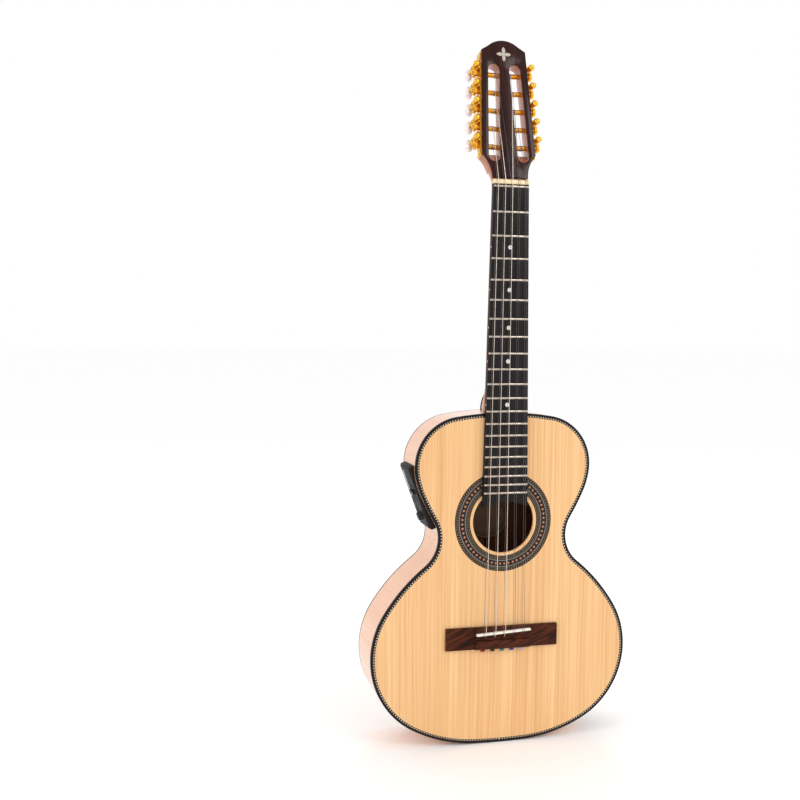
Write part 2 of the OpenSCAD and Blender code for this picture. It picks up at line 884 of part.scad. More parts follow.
module plate_screws(which) {
    // which 1: the shank holes, which 2: the whole screws
    for (side = [BASS, TREBLE]) on_side(side) for (k = [0 : 5]) {
        z = k == 0 ? plate_low + 3 : roller_at(k) + roller_gap / 2 + 4 - (k == 5 ? 8 : 0);
        translate([-screw_l, roller_y, z]) rotate([0, 90, 0]) {
            cylinder(r = screw_r, h = screw_l + plate_t + (which == 2 ? 0.2 : 1), $fn = 32);
            if (which == 2) translate([0, 0, screw_l + plate_t])
                cylinder(r1 = screw_head_r, r2 = 1.4, h = 1, $fn = 32);
        }
    }
}

module tuner_plate(side) {
    on_side(side) difference() {
        union() {
            translate([plate_t, 0, 0]) rotate([0, -90, 0]) rotate([0, 0, -90]) mirror([1, 0, 0])
                linear_extrude(plate_t) plate_outline();
            for (k = [1 : 5], s = [-1, 1])
                translate([0, roller_y + s * (worm_half + lug_t / 2 + 0.3) - lug_t / 2,
                    roller_at(k) + worm_rise]) {
                    translate([plate_t - eps, 0, -3.4]) cube([worm_x - plate_t, lug_t, 6.8]);
                    translate([worm_x, lug_t, 0]) rotate([90, 0, 0])
                        cylinder(r = 3.4, h = lug_t, $fn = 48);
                }
        }
        for (k = [1 : 5]) {
            translate([-1, roller_y, roller_at(k)]) rotate([0, 90, 0])
                cylinder(r = roller_r + run_gap, h = plate_t + 2, $fn = 48);
            translate([worm_x, roller_y - 20, roller_at(k) + worm_rise]) rotate([-90, 0, 0])
                cylinder(r = shaft_r + run_gap, h = 40, $fn = 48);
        }
    }
}

module tuner_plate_with_holes(side) {
    difference() {
        tuner_plate(side);
        plate_screws(1);
    }
}

module tuner_plate_bass() {
    place() color([0.85, 0.65, 0.2]) tuner_plate_with_holes(BASS);
}

module tuner_plate_treble() {
    place() color([0.85, 0.65, 0.2]) tuner_plate_with_holes(TREBLE);
}

module worm(side, k) {
    front = worm_half + 0.3 + lug_t + 0.1;
    place() color([0.9, 0.85, 0.75]) on_side(side)
        translate([worm_x, roller_y, roller_at(k) + worm_rise]) {
            rotate([-90, 0, 0]) {
                translate([0, 0, -front - 2]) cylinder(r = shaft_r, h = front + 2 + 22, $fn = 48);
                translate([0, 0, -worm_half]) cylinder(r = worm_r, h = 2 * worm_half, $fn = 48);
                translate([0, 0, front]) cylinder(r = 2.6, h = 2.2, $fn = 48);
                translate([0, 0, front + 2.2]) cylinder(r = 2, h = 12, $fn = 48);
            }
            translate([0, -front - ball_r + 0.4, 0]) sphere(ball_r, $fn = 64);
            translate([0, knob_back, 0]) {
                translate([0, 0, -knob_half]) cylinder(r = knob_r, h = 2 * knob_half, $fn = 64);
                for (s = [-1, 1]) translate([0, 0, s * knob_half]) sphere(knob_r, $fn = 64);
            }
        }
}

module roller(side, k) {
    tooth_gap = 0.9;
    x_wind = head_low_x - sin(splay) * roller_at(k) - wind_x(k);
    place() color([0.8, 0.6, 0.2]) on_side(side)
        translate([0, roller_y, roller_at(k)]) rotate([0, 90, 0]) {
            translate([0, 0, -roller_in]) cylinder(r = roller_r, h = roller_in + worm_x, $fn = 48);
            translate([0, 0, worm_x - gear_w / 2]) linear_extrude(gear_w) difference() {
                circle(gear_r);
                for (t = [0 : gear_teeth - 1]) rotate(t * 360 / gear_teeth)
                    translate([gear_r, 0]) circle(tooth_gap / 2, $fn = 24);
            }
            translate([0, 0, worm_x + gear_w / 2]) cylinder(r = 2.4, h = 1.2, $fn = 48);
            translate([0, 0, -x_wind - wind_w / 2]) cylinder(r = wind_r, h = wind_w, $fn = 48);
        }
}

// ---- preamp ----
slider_ys = [20, 27, 34];
slider_z = 52;
slider_throw = 10;
slider_slot_w = 2.4;
knob_at = [27, 18];
volume_r = 6;
display_y = 43.5;
display_w = 6;
display_z = 42;
display_l = 38;

module panel_outer() {
    hull() {
        translate([panel_bevel, panel_y, 0]) cube([12, panel_w, panel_l]);
        translate([0, panel_y + panel_bevel, panel_bevel])
            cube([1, panel_w - 2 * panel_bevel, panel_l - 2 * panel_bevel]);
    }
}

module preamp_panel() {
    place() color([0.13, 0.12, 0.12]) difference() {
        union() {
            difference() {
                on_panel() panel_outer();
                slab(-20, 200) outline(0);
            }
            on_panel() translate([3, box_y, box_z]) cube([box_in, box_w, box_l]);
        }
        on_panel() {
            for (y = slider_ys)
                translate([-1, y - slider_slot_w / 2, slider_z - slider_throw - 3])
                    cube([6, slider_slot_w, 2 * slider_throw + 6]);
            translate([-1, knob_at[0], knob_at[1]]) rotate([0, 90, 0]) cylinder(r = 3.06, h = 8);
            translate([-1, display_y - 0.02, display_z]) cube([1.8, display_w, display_l]);
        }
    }
}

module preamp_display() {
    place() color([0.7, 0.7, 0.68]) on_panel()
        translate([0.2, display_y, display_z]) cube([0.6, display_w - 0.04, display_l]);
}

module preamp_knob() {
    place() color([0.1, 0.1, 0.1]) on_panel() translate([0, knob_at[0], knob_at[1]])
        rotate([0, -90, 0]) {
            translate([0, 0, 0.3]) difference() {
                cylinder(r = volume_r, h = 5.5);
                translate([-0.5, 0, 4.5]) cube([1, volume_r + 1, 2]);
            }
            translate([0, 0, -6]) cylinder(r = 3, h = 7);
        }
}

module preamp_slider(i) {
    place() color([0.15, 0.15, 0.15]) on_panel()
        translate([0, slider_ys[i - 1], slider_z]) {
            translate([-3.2, -2, -2.2]) difference() {
                cube([3, 4, 4.4]);
                translate([-1, -1, 1.8]) cube([1.4, 6, 0.8]);
            }
            translate([-0.5, -0.9, -1.5]) cube([4.5, 1.8, 3]);
        }
}

// ---- jack plate, socket, battery and its door ----
module jack_plate() {
    place() color([0.1, 0.1, 0.1]) difference() {
        union() {
            slab(plate_y0, plate_y1) corner_band(corner_r, corner_r + plate_lip, plate_start, plate_turn);
            difference() {
                bay_block(bay_wall, bay_wall);
                slab(-20, 200) corner_band(corner_r, corner_r + 60, -89, 88);
            }
        }
        bay_block(0, 0);
        slab(plate_y0 + 3.2 - door_gap, plate_y1 - 3.2 + door_gap)
            corner_band(corner_r + door_ledge, corner_r + 20, door_start, door_turn);
        on_corner(jack_at) translate([0, bay_mid_y, 0]) rotate([0, 90, 0])
            cylinder(r = jack_barrel_r, h = 200);
        jack_plate_screws(1);
    }
}

module jack_plate_screws(which) {
    reach = rib_t + 1;
    for (a = [plate_start + 29, plate_start + 20.5], y = [plate_y0 + 5, plate_y1 - 5])
        on_corner(a) translate([corner_r - reach, y, 0]) rotate([0, 90, 0]) {
            cylinder(r = screw_r, h = reach + plate_lip + (which == 1 ? 1 : 0), $fn = 32);
            if (which == 2) translate([0, 0, reach + plate_lip])
                cylinder(r1 = screw_head_r, r2 = 1.4, h = 0.8, $fn = 32);
        }
}

module jack_socket() {
    place() color([0.75, 0.75, 0.75]) on_corner(jack_at)
        translate([corner_r, bay_mid_y, 0]) rotate([0, 90, 0]) difference() {
            union() {
                translate([0, 0, -22]) cylinder(r = jack_barrel_r, h = 22 + plate_lip + 4);
                translate([0, 0, plate_lip + 0.05]) cylinder(r = 7.5, h = 2.2, $fn = 6);
            }
            translate([0, 0, -23]) cylinder(r = jack_bore_r, h = 40);
        }
}

module battery() {
    place() color([0.6, 0.6, 0.6]) on_corner(battery_at)
        translate([battery_top - battery_t + 0.3, bay_mid_y - battery_l / 2 + 0.3, -battery_w / 2 + 0.3])
            cube([battery_t - 1.2, battery_l - 0.6, battery_w - 0.6]);
}

module battery_door() {
    place() color([0.12, 0.12, 0.12])
        slab(plate_y0 + 3.2, plate_y1 - 3.2)
            corner_band(corner_r + 0.6, corner_r + plate_lip,
                door_start + 0.2, door_turn - 0.4);
}

module screws() {
    place() color([0.85, 0.68, 0.25]) {
        plate_screws(2);
        jack_plate_screws(2);
        in_head() slab(-cover_t - 0.8, 0) translate([0, cover_screw_z]) circle(1);
        in_head() slab(-cover_t - 0.8, -cover_t) translate([0, cover_screw_z]) circle(1.9);
    }
}

soundboard();
back_bass();
back_treble();
back_strip();
rib_bass();
rib_treble();
top_binding();
top_purfling();
back_binding();
rosette();
braces();
linings();
end_blocks();
bridge();
saddle();
ball_ends();
strings_wound();
strings_plain();
nut();
neck();
head();
heel_cap();
fingerboard();
frets();
inlays();
head_veneer();
truss_rod();
truss_rod_cover();
tuner_plate_bass();
tuner_plate_treble();
screws();
for (k = [1 : 5]) {
    worm(BASS, k);
    worm(TREBLE, k);
    roller(BASS, k);
    roller(TREBLE, k);
}
preamp_panel();
preamp_display();
preamp_knob();
for (i = [1 : 3]) preamp_slider(i);
jack_plate();
jack_socket();
battery();
battery_door();
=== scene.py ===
import math
from math import cos, pi, radians, sin
import bmesh
import bpy
from mathutils import Matrix, Vector


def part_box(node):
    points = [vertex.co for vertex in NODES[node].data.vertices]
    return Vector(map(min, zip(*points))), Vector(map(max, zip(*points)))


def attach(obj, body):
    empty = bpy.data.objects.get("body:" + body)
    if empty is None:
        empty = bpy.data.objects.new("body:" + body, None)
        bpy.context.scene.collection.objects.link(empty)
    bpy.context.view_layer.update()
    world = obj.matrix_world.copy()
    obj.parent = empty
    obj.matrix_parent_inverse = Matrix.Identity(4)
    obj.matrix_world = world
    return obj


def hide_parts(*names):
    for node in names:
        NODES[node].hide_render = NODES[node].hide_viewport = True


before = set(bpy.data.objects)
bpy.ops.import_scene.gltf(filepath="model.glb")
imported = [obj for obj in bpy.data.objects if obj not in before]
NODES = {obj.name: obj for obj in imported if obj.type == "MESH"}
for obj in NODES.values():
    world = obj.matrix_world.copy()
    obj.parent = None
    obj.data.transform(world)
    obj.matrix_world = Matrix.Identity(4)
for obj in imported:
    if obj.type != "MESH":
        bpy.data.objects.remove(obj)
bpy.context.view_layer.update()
MM = 0.001
IDENTITY = Matrix.Identity(4)

# ---- driving sizes, in millimetres and degrees, with Y from the soundboard's face ----
FACE_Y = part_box("soundboard")[0].y / MM
ARC_RADII = (707, 194, 110.6, 237, 46.9, 314, 99.5, 66, 403)
ARC_TURNS = (3, 25.7, 92.9, 20, -82.4, 7, 16.6, 87.8, 9.4)
RIB_T = 2.2
BINDING_H = 4
PURFLING_W = 3.2
INLAY_T = 1.2
BACK_T = 2.6
TAIL_DEPTH = 84.6
BACK_TAPER = radians(3.2)
HOLE_Z, ROSETTE_R, ROSETTE_IN_R = 298.5, 66.9, 46.1
SADDLE_Z, SCALE_LENGTH = 154.4, 580
SADDLE_H, SADDLE_SLANT = 12.2, radians(3.36)
BOARD_T, BOARD_W0, BOARD_W20 = 7, 47.8, 60.5
FRET_COUNT, FRET_H = 20, 1.1
DOT_FRETS = (3, 5, 7, 9, 12)
HEAD_TILT = radians(12)
HEAD_T, VENEER_T, HEAD_GLUE = 19, 2.5, 12
HEAD_LOW, HEAD_HIGH, HEAD_APEX = (36.6, 32.5), (30.2, 175), 189
DOME_R, DOME, NECK_ARC_R, HEAD_NUT_X = 30.4, (20.3, 181.3), 44, 24.3
SLOT_W, SLOT_LOW, SLOT_HIGH = 16.1, (19.9, 23), (14.1, 157)
ROLLER_R, ROLLER_Y, FIRST_ROLLER, ROLLER_GAP = 3.3, 10.5, 14.2, 24.7
WORM_RISE, WORM_X = 9, 6.7
GEAR_TEETH = 14
WIND_X = (19.6, 17.4, 13.4, 12.4, 10.2)
WOUND_STRINGS = (1, 3, 5)
TUNERS = [(side, k) for side in (-1, 1) for k in range(1, 6)]


def shift(x, y, z):
    return Matrix.Translation((x, y, z))


def spin(angle, axis):
    return Matrix.Rotation(angle, 4, axis)


def around(count):
    """The angles of evenly spaced points on a whole turn."""
    return [2 * pi * i / count for i in range(count)]


def half_round(count):
    """The angles of evenly spaced points on half a turn, both ends included."""
    return [pi * i / count for i in range(count + 1)]


def fret_z(n):
    return SADDLE_Z + SCALE_LENGTH * 2 ** (-n / 12)


def board_w(z):
    share = (fret_z(0) - z) / (fret_z(0) - fret_z(20))
    return BOARD_W0 + (BOARD_W20 - BOARD_W0) * share


def back_y(z):
    return TAIL_DEPTH - z * math.tan(BACK_TAPER)


NUT_Z, NUT_T = fret_z(0) + 2.8, 6
TIE_Z = SADDLE_Z - 25.5
SPLAY = math.atan((HEAD_LOW[0] - HEAD_HIGH[0]) / (HEAD_HIGH[1] - HEAD_LOW[1]))
# Turns millimetres measured from the soundboard's face into the row's metres
ROW = Matrix.Scale(MM, 4) @ shift(0, FACE_Y, 0)
HEAD = ROW @ shift(0, -3, fret_z(0) + 10) @ spin(-HEAD_TILT, "X")


def on_side(side):
    """The side face of the head: X outwards, Z up the edge from the lower corner."""
    flip = Matrix.Diagonal((side, 1, 1, 1))
    return (HEAD @ flip @ shift(HEAD_LOW[0], 0, HEAD_LOW[1]) @ spin(-SPLAY, "Y"))


def roller_at(k):
    return FIRST_ROLLER + (k - 1) * ROLLER_GAP


def side_name(side):
    return "bass" if side < 0 else "treble"


# ---- camera, light and floor ----
def set_camera():
    place = Vector((-0.45359, -1.28222, 0.54645))
    right = Vector((0.97036326, -0.24136163, 0.01182003))
    up = Vector((0.00485887, 0.06839148, 0.99764673))
    data = bpy.data.cameras.new("studio_camera")
    data.lens = 45.42
    data.sensor_width = 36
    data.clip_start = 0.02
    camera = show("studio_camera", data)
    camera.matrix_world = Matrix.LocRotScale(
        place, Matrix((right, up, right.cross(up))).transposed(), None)
    bpy.context.scene.camera = camera


def show(name, data):
    """A new object in the scene that holds this data."""
    made = bpy.data.objects.new(name, data)
    bpy.context.scene.collection.objects.link(made)
    return made


def add_light(name, place, aim, size, power, tint=(1, 1, 1)):
    data = bpy.data.lights.new(name, "AREA")
    data.shape = "DISK"
    data.size = size
    data.energy = power
    data.color = tint
    light = show(name, data)
    light.location = place
    light.rotation_euler = (Vector(aim) - Vector(place)).to_track_quat("-Z", "Y").to_euler()


def set_studio():
    world = bpy.data.worlds.new("studio_world")
    bpy.context.scene.world = world
    world.use_nodes = True
    sky = world.node_tree.nodes["Background"]
    sky.inputs["Color"].default_value = (1, 1, 1, 1)
    sky.inputs["Strength"].default_value = 1.0
    bpy.context.scene.view_settings.view_transform = "Standard"
    add_light("key_light", (1.3, -2.0, 1.9), (0, 0, 0.5), 0.9, 14)
    add_light("side_light", (-2.2, -0.8, 1.3), (0, 0, 0.4), 0.7, 6)
    add_light("back_light", (0.9, 2.2, 1.6), (0, 0, 0.45), 0.9, 9)
    mesh = bpy.data.meshes.new("studio_floor")
    reach = 30
    corners = [(-reach, -reach, 0), (reach, -reach, 0), (reach, reach, 0), (-reach, reach, 0)]
    mesh.from_pydata(corners, [], [(0, 1, 2, 3)])
    floor = show("studio_floor", mesh)
    floor.location.z = -0.0005
    paint = new_finish("floor_paint", (0.985, 0.985, 0.985), 0.9)[0]
    mesh.materials.append(paint)


# ---- node benches ----
class Bench:
    """A node tree with short calls for adding nodes and joining them."""

    def __init__(self, tree):
        self.tree = tree

    def node(self, kind, **settings):
        made = self.tree.nodes.new("ShaderNode" + kind)
        for name, value in settings.items():
            setattr(made, name, value)
        return made

    def feed(self, socket, value):
        if isinstance(value, bpy.types.NodeSocket):
            self.tree.links.new(value, socket)
        elif hasattr(value, "__len__") and len(value) == 3 and socket.type == "RGBA":
            socket.default_value = (*value, 1)
        else:
            socket.default_value = value

    def math(self, operation, first, second=0.0, clamp=False):
        made = self.node("Math", operation=operation, use_clamp=clamp)
        self.feed(made.inputs[0], first)
        self.feed(made.inputs[1], second)
        return made.outputs[0]

    def plus(self, first, second, clamp=False):
        return self.math("ADD", first, second, clamp)

    def times(self, first, second):
        return self.math("MULTIPLY", first, second)

    def over(self, first, second):
        return self.math("DIVIDE", first, second)

    def mix(self, share, first, second, blend="MIX"):
        made = self.node("Mix", data_type="RGBA", blend_type=blend)
        self.feed(made.inputs[0], share)
        self.feed(made.inputs[6], first)
        self.feed(made.inputs[7], second)
        return made.outputs[2]

    def noise(self, vector, scale, detail=2.0):
        made = self.node("TexNoise")
        self.feed(made.inputs["Vector"], vector)
        self.feed(made.inputs["Scale"], scale)
        made.inputs["Detail"].default_value = detail
        return made.outputs["Fac"]

    def spread(self, value, low, high, to_low=0.0, to_high=1.0):
        made = self.node("MapRange")
        for i, item in enumerate((value, low, high, to_low, to_high)):
            self.feed(made.inputs[i], item)
        return made.outputs[0]

    def split(self, vector):
        made = self.node("SeparateXYZ")
        self.feed(made.inputs[0], vector)
        return made.outputs[0], made.outputs[1], made.outputs[2]

    def gather(self, x, y, z):
        made = self.node("CombineXYZ")
        for i, item in enumerate((x, y, z)):
            self.feed(made.inputs[i], item)
        return made.outputs[0]

    def turned(self, vector, turn=(0, 0, 0), scale=(1, 1, 1)):
        made = self.node("Mapping")
        self.feed(made.inputs["Vector"], vector)
        made.inputs["Rotation"].default_value = [radians(a) for a in turn]
        made.inputs["Scale"].default_value = scale
        return made.outputs[0]

    def place(self):
        return self.node("TexCoord").outputs["Object"]

    def use(self, group, **values):
        made = self.node("Group")
        made.node_tree = group
        for name, value in values.items():
            self.feed(made.inputs[name.replace("_", " ").title()], value)
        return made.outputs


def new_group(name, inputs, outputs):
    tree = bpy.data.node_groups.new(name, "ShaderNodeTree")
    for label, kind in inputs:
        tree.interface.new_socket(label, in_out="INPUT", socket_type="NodeSocket" + kind)
    for label, kind in outputs:
        tree.interface.new_socket(label, in_out="OUTPUT", socket_type="NodeSocket" + kind)
    bench = Bench(tree)
    entry = tree.nodes.new("NodeGroupInput").outputs
    exits = tree.nodes.new("NodeGroupOutput").inputs
    return tree, bench, entry, exits


def make_grain_group():
    """Straight wood grain along Z: fine lines, broad bands, and a slow waver."""
    tree, b, entry, exits = new_group("wood_grain",
        [("Vector", "Vector"), ("Pale", "Color"), ("Dark", "Color"), ("Line Pitch", "Float"),
         ("Band Pitch", "Float"), ("Run", "Float"), ("Lines", "Float"), ("Bands", "Float"),
         ("Waver", "Float")], [("Color", "Color"), ("Roughness", "Float"), ("Height", "Float")])
    x, y, z = b.split(entry["Vector"])
    slow = b.noise(entry["Vector"], 7.0, 2.0)
    waver = b.times(b.math("SUBTRACT", slow, 0.5), entry["Waver"])
    across = b.plus(b.plus(x, waver), b.times(y, 0.6))
    along = b.over(z, entry["Run"])
    fine = b.gather(b.over(across, entry["Line Pitch"]), b.times(y, 90.0), along)
    broad = b.gather(b.over(across, entry["Band Pitch"]), b.times(y, 12.0), b.times(along, 0.4))
    lines = b.spread(b.noise(fine, 1.0, 2.0), 0.38, 0.72)
    bands = b.spread(b.noise(broad, 1.0, 2.0), 0.35, 0.7)
    tone = b.plus(b.times(lines, entry["Lines"]), b.times(bands, entry["Bands"]), clamp=True)
    b.feed(exits["Color"], b.mix(tone, entry["Pale"], entry["Dark"]))
    b.feed(exits["Roughness"], lines)
    b.feed(exits["Height"], lines)
    return tree


def make_mottle_group():
    """Three colours drifting into each other, as in pearl."""
    tree, b, entry, exits = new_group("mottle",
        [("Vector", "Vector"), ("First", "Color"), ("Second", "Color"), ("Third", "Color"),
         ("Size", "Float")], [("Color", "Color"), ("Height", "Float")])
    scale = b.over(1.0, entry["Size"])
    one = b.spread(b.noise(entry["Vector"], scale, 3.0), 0.4, 0.62)
    moved = b.node("VectorMath", operation="ADD")
    b.feed(moved.inputs[0], entry["Vector"])
    moved.inputs[1].default_value = (0.31, 0.17, 0.23)
    two = b.spread(b.noise(moved.outputs[0], scale, 3.0), 0.45, 0.65)
    b.feed(exits["Color"], b.mix(two, b.mix(one, entry["First"], entry["Second"]), entry["Third"]))
    b.feed(exits["Height"], one)
    return tree


def make_handling_group():
    """Smudges and fine scuffs that change the gloss a little."""
    tree, b, entry, exits = new_group("handling",
        [("Vector", "Vector"), ("Gloss", "Float"), ("Dull", "Float"), ("Size", "Float")],
        [("Roughness", "Float"), ("Height", "Float")])
    scale = b.over(1.0, entry["Size"])
    smudge = b.spread(b.noise(entry["Vector"], scale, 4.0), 0.35, 0.7)
    grit = b.noise(entry["Vector"], b.times(scale, 14.0), 2.0)
    tone = b.plus(b.times(smudge, 0.75), b.times(grit, 0.25))
    b.feed(exits["Roughness"], b.spread(tone, 0.0, 1.0, entry["Gloss"], entry["Dull"]))
    b.feed(exits["Height"], grit)
    return tree


GRAIN = make_grain_group()
MOTTLE = make_mottle_group()
HANDLING = make_handling_group()


# ---- finishes ----
def srgb(r, g, b):
    """A colour given in screen values from 0 to 255."""
    def line(v):
        v /= 255
        return v / 12.92 if v <= 0.04045 else ((v + 0.055) / 1.055) ** 2.4
    return line(r), line(g), line(b)


def new_finish(name, colour, roughness, metallic=0.0, coat=0.0, coat_roughness=0.1, specular=0.5):
    material = bpy.data.materials.new(name)
    material.use_nodes = True
    shader = material.node_tree.nodes["Principled BSDF"]
    for label, value in (("Base Color", (*colour, 1)), ("Roughness", roughness),
                         ("Metallic", metallic), ("Coat Weight", coat),
                         ("Coat Roughness", coat_roughness), ("Specular IOR Level", specular)):
        shader.inputs[label].default_value = value
    return material, Bench(material.node_tree), shader


def add_bump(bench, shader, height, strength, distance):
    bump = bench.node("Bump")
    bump.inputs["Strength"].default_value = strength
    bump.inputs["Distance"].default_value = distance
    bench.feed(bump.inputs["Height"], height)
    bench.feed(shader.inputs["Normal"], bump.outputs[0])


def wood_finish(name, pale, dark, line_pitch, band_pitch, run, lines, bands, waver,
                roughness=(0.35, 0.5), coat=0.5, turn=(0, 0, 0), bump=0.15, flecks=None,
                specular=0.5, inside=None):
    """A wood with its grain along Z, or turned. flecks is (colour, amount); inside is a dark
    colour painted on the faces that look towards the soundboard, as painted shade inside the body."""
    pale, dark = srgb(*pale), srgb(*dark)
    material, b, shader = new_finish(name, pale, roughness[0], coat=coat, coat_roughness=0.12,
                                     specular=specular)
    vector = b.turned(b.place(), turn)
    grain = b.use(GRAIN, vector=vector, pale=pale, dark=dark, line_pitch=line_pitch * MM,
                  band_pitch=band_pitch * MM, run=run * MM, lines=lines, bands=bands,
                  waver=waver * MM)
    colour = grain["Color"]
    if flecks:
        stretched = b.turned(vector, scale=(520, 300, 62))
        marks = b.spread(b.noise(stretched, 1.0, 1.0), 0.66, 0.74, 0.0, flecks[1])
        colour = b.mix(marks, colour, srgb(*flecks[0]))
    # Faces that look towards the soundboard are painted darker: painted shade inside the body.
    if inside:
        facing = b.split(b.node("TexCoord").outputs["Normal"])[1]
        colour = b.mix(b.spread(facing, -0.3, -0.6), colour, srgb(*inside))
    b.feed(shader.inputs["Base Color"], colour)
    b.feed(shader.inputs["Roughness"], b.spread(grain["Roughness"], 0.0, 1.0, *roughness))
    add_bump(b, shader, grain["Height"], bump, 0.0002)
    return material


def handled_finish(name, colour, gloss, dull, size=6.0, metallic=0.0, coat=0.0, bump=0.08,
                   specular=0.5, tint=None):
    """A plain material with smudges. tint is a second colour that shows faintly."""
    colour = srgb(*colour)
    tint = srgb(*tint) if tint else tuple(c * 0.86 for c in colour)
    material, b, shader = new_finish(name, colour, gloss, metallic, coat, specular=specular)
    touch = b.use(HANDLING, vector=b.place(), gloss=gloss, dull=dull, size=size * MM)
    b.feed(shader.inputs["Roughness"], touch["Roughness"])
    cloud = b.spread(b.noise(b.place(), 120.0, 3.0), 0.3, 0.7)
    b.feed(shader.inputs["Base Color"], b.mix(cloud, colour, tint))
    add_bump(b, shader, touch["Height"], bump, 0.0001)
    return material


def pearl_finish(name, first, second, third, size, roughness=0.16):
    first, second, third = srgb(*first), srgb(*second), srgb(*third)
    material, b, shader = new_finish(name, first, roughness, coat=0.7, coat_roughness=0.06)
    cloud = b.use(MOTTLE, vector=b.place(), first=first, second=second, third=third, size=size * MM)
    b.feed(shader.inputs["Base Color"], cloud["Color"])
    add_bump(b, shader, cloud["Height"], 0.05, 0.0002)
    return material


SPRUCE = wood_finish(
    "spruce_top_gloss", (240, 194, 138), (206, 142, 82), 1.7, 11, 260,
    0.5, 0.26, 5, (0.3, 0.42), coat=0.3, specular=0.35)
MAPLE_RIB = wood_finish(
    "maple_rib_gloss", (238, 186, 150), (218, 154, 112), 1.6, 16, 160,
    0.22, 0.35, 6, (0.2, 0.32), turn=(90, 0, 0), specular=0.35)
# inside=(84, 50, 32) paints the back's inner face dark, as painted shade inside the body.
MAPLE_BACK = wood_finish(
    "maple_back_gloss", (228, 166, 106), (198, 126, 72), 2.4, 24, 220,
    0.3, 0.62, 26, (0.2, 0.32), flecks=((140, 72, 34), 0.5), specular=0.35,
    inside=(84, 50, 32))
# The braces, linings and end blocks get darker copies of the outer woods: painted shade inside the
# body.
SPRUCE_SHADED_INSIDE = wood_finish(
    "spruce_inside_painted_shade", (120, 84, 52), (96, 62, 38), 1.2, 12, 200,
    0.4, 0.3, 4, (0.6, 0.75), coat=0.0, specular=0.2)
CEDAR_SHADED_INSIDE = wood_finish(
    "cedar_inside_painted_shade", (112, 68, 44), (84, 48, 30), 1.6, 12, 160,
    0.4, 0.4, 4, (0.6, 0.75), coat=0.0, specular=0.2)
CEDAR_NECK = wood_finish(
    "cedar_neck_gloss", (194, 112, 68), (142, 72, 38), 1.1, 14, 120,
    0.4, 0.45, 5, (0.2, 0.34), coat=0.7, specular=0.4)
CEDAR_SLOT = wood_finish(
    "cedar_slot_wall", (206, 120, 76), (160, 82, 50), 1.1, 12, 100,
    0.35, 0.4, 3, (0.35, 0.5), coat=0.3, specular=0.35)
ROSEWOOD_BRIDGE = wood_finish(
    "rosewood_bridge_oiled", (32, 13, 10), (104, 52, 30), 2.2, 6,
    26, 0.55, 0.45, 6, (0.34, 0.5), coat=0.0, turn=(0, -66, 0),
    bump=0.3, specular=0.08)
ROSEWOOD_FACE = wood_finish(
    "rosewood_face_gloss", (26, 10, 7), (62, 24, 15), 1.3, 14, 160,
    0.4, 0.5, 5, (0.16, 0.26), coat=0.12, specular=0.1)
EBONY = wood_finish(
    "ebony_satin", (24, 20, 21), (44, 38, 40), 0.7, 8, 60,
    0.5, 0.4, 2, (0.36, 0.52), coat=0.0, bump=0.2, specular=0.12)
BINDING = wood_finish(
    "rosewood_binding", (18, 9, 8), (40, 20, 15), 1.0, 8, 60,
    0.4, 0.4, 2, (0.25, 0.4), coat=0.1, specular=0.12)
COVER_WOOD = wood_finish(
    "cover_wood_satin", (36, 20, 20), (58, 34, 32), 1.2, 8, 90,
    0.4, 0.4, 2, (0.3, 0.45), coat=0.05, specular=0.12)
ROPE_PALE = handled_finish("rope_maple", (244, 228, 196), 0.3, 0.45, coat=0.4)
ROPE_DARK = handled_finish("rope_ebony", (14, 9, 8), 0.3, 0.45, coat=0.15, specular=0.25)
MOSAIC_BLACK = handled_finish("mosaic_black", (16, 11, 9), 0.28, 0.4, coat=0.15, specular=0.25)
MOSAIC_GREY, MOSAIC_GOLD, MOSAIC_ORANGE = [
    handled_finish("mosaic_" + name, colour, 0.28, 0.4, coat=0.3) for name, colour in (
        ("grey", (132, 122, 110)), ("gold", (158, 128, 82)), ("orange", (206, 122, 72)))]
BONE = handled_finish(
    "bone_white", (250, 247, 240), 0.22, 0.36, coat=0.3, tint=(240, 232, 216))
NUT_BONE = handled_finish(
    "bone_cream", (238, 214, 168), 0.25, 0.4, coat=0.3, tint=(226, 198, 150))
FRET_WIRE = handled_finish("fret_wire_polished", (200, 186, 172), 0.2, 0.34, metallic=1.0)
PEARL = pearl_finish("pearl_dot", (240, 238, 234), (214, 222, 224), (240, 222, 214), 2.5)
ABALONE = pearl_finish("abalone_leaf", (186, 176, 160), (150, 172, 178), (196, 160, 132), 3)
KNOB_PEARL = pearl_finish(
    "knob_pearloid", (244, 232, 230), (226, 206, 206), (250, 246, 244), 4)
GOLD = handled_finish(
    "gold_plate_polished", (240, 190, 70), 0.16, 0.3, metallic=1.0, tint=(228, 170, 52))
GOLD_GEAR = handled_finish(
    "gold_gear_brushed", (224, 160, 56), 0.24, 0.4, metallic=1.0, tint=(190, 124, 40))
# Used only for screw slots: a dark colour as painted shade in the slots.
SLOT_SHADE = handled_finish("slot_painted_shade", (70, 52, 40), 0.3, 0.45, metallic=0.8)
STEEL = handled_finish("string_steel", (112, 106, 102), 0.2, 0.34, metallic=1.0)
BRONZE = handled_finish(
    "string_bronze", (236, 226, 214), 0.24, 0.4, metallic=1.0, tint=(214, 198, 180))
ROD_STEEL = handled_finish("rod_steel_plain", (150, 150, 154), 0.35, 0.5, metallic=1.0)
PANEL = handled_finish(
    "panel_plastic", (38, 35, 37), 0.42, 0.55, size=3, bump=0.2, specular=0.06)
PANEL_KNOB = handled_finish("knob_plastic", (26, 24, 25), 0.35, 0.5, size=3, specular=0.35)
PANEL_MARK = handled_finish("panel_mark", (190, 186, 184), 0.5, 0.6)
WINDOW = handled_finish("display_glass", (206, 198, 194), 0.1, 0.2, coat=0.6)
LAMP = handled_finish("lamp_red", (170, 34, 36), 0.15, 0.25, coat=0.8)
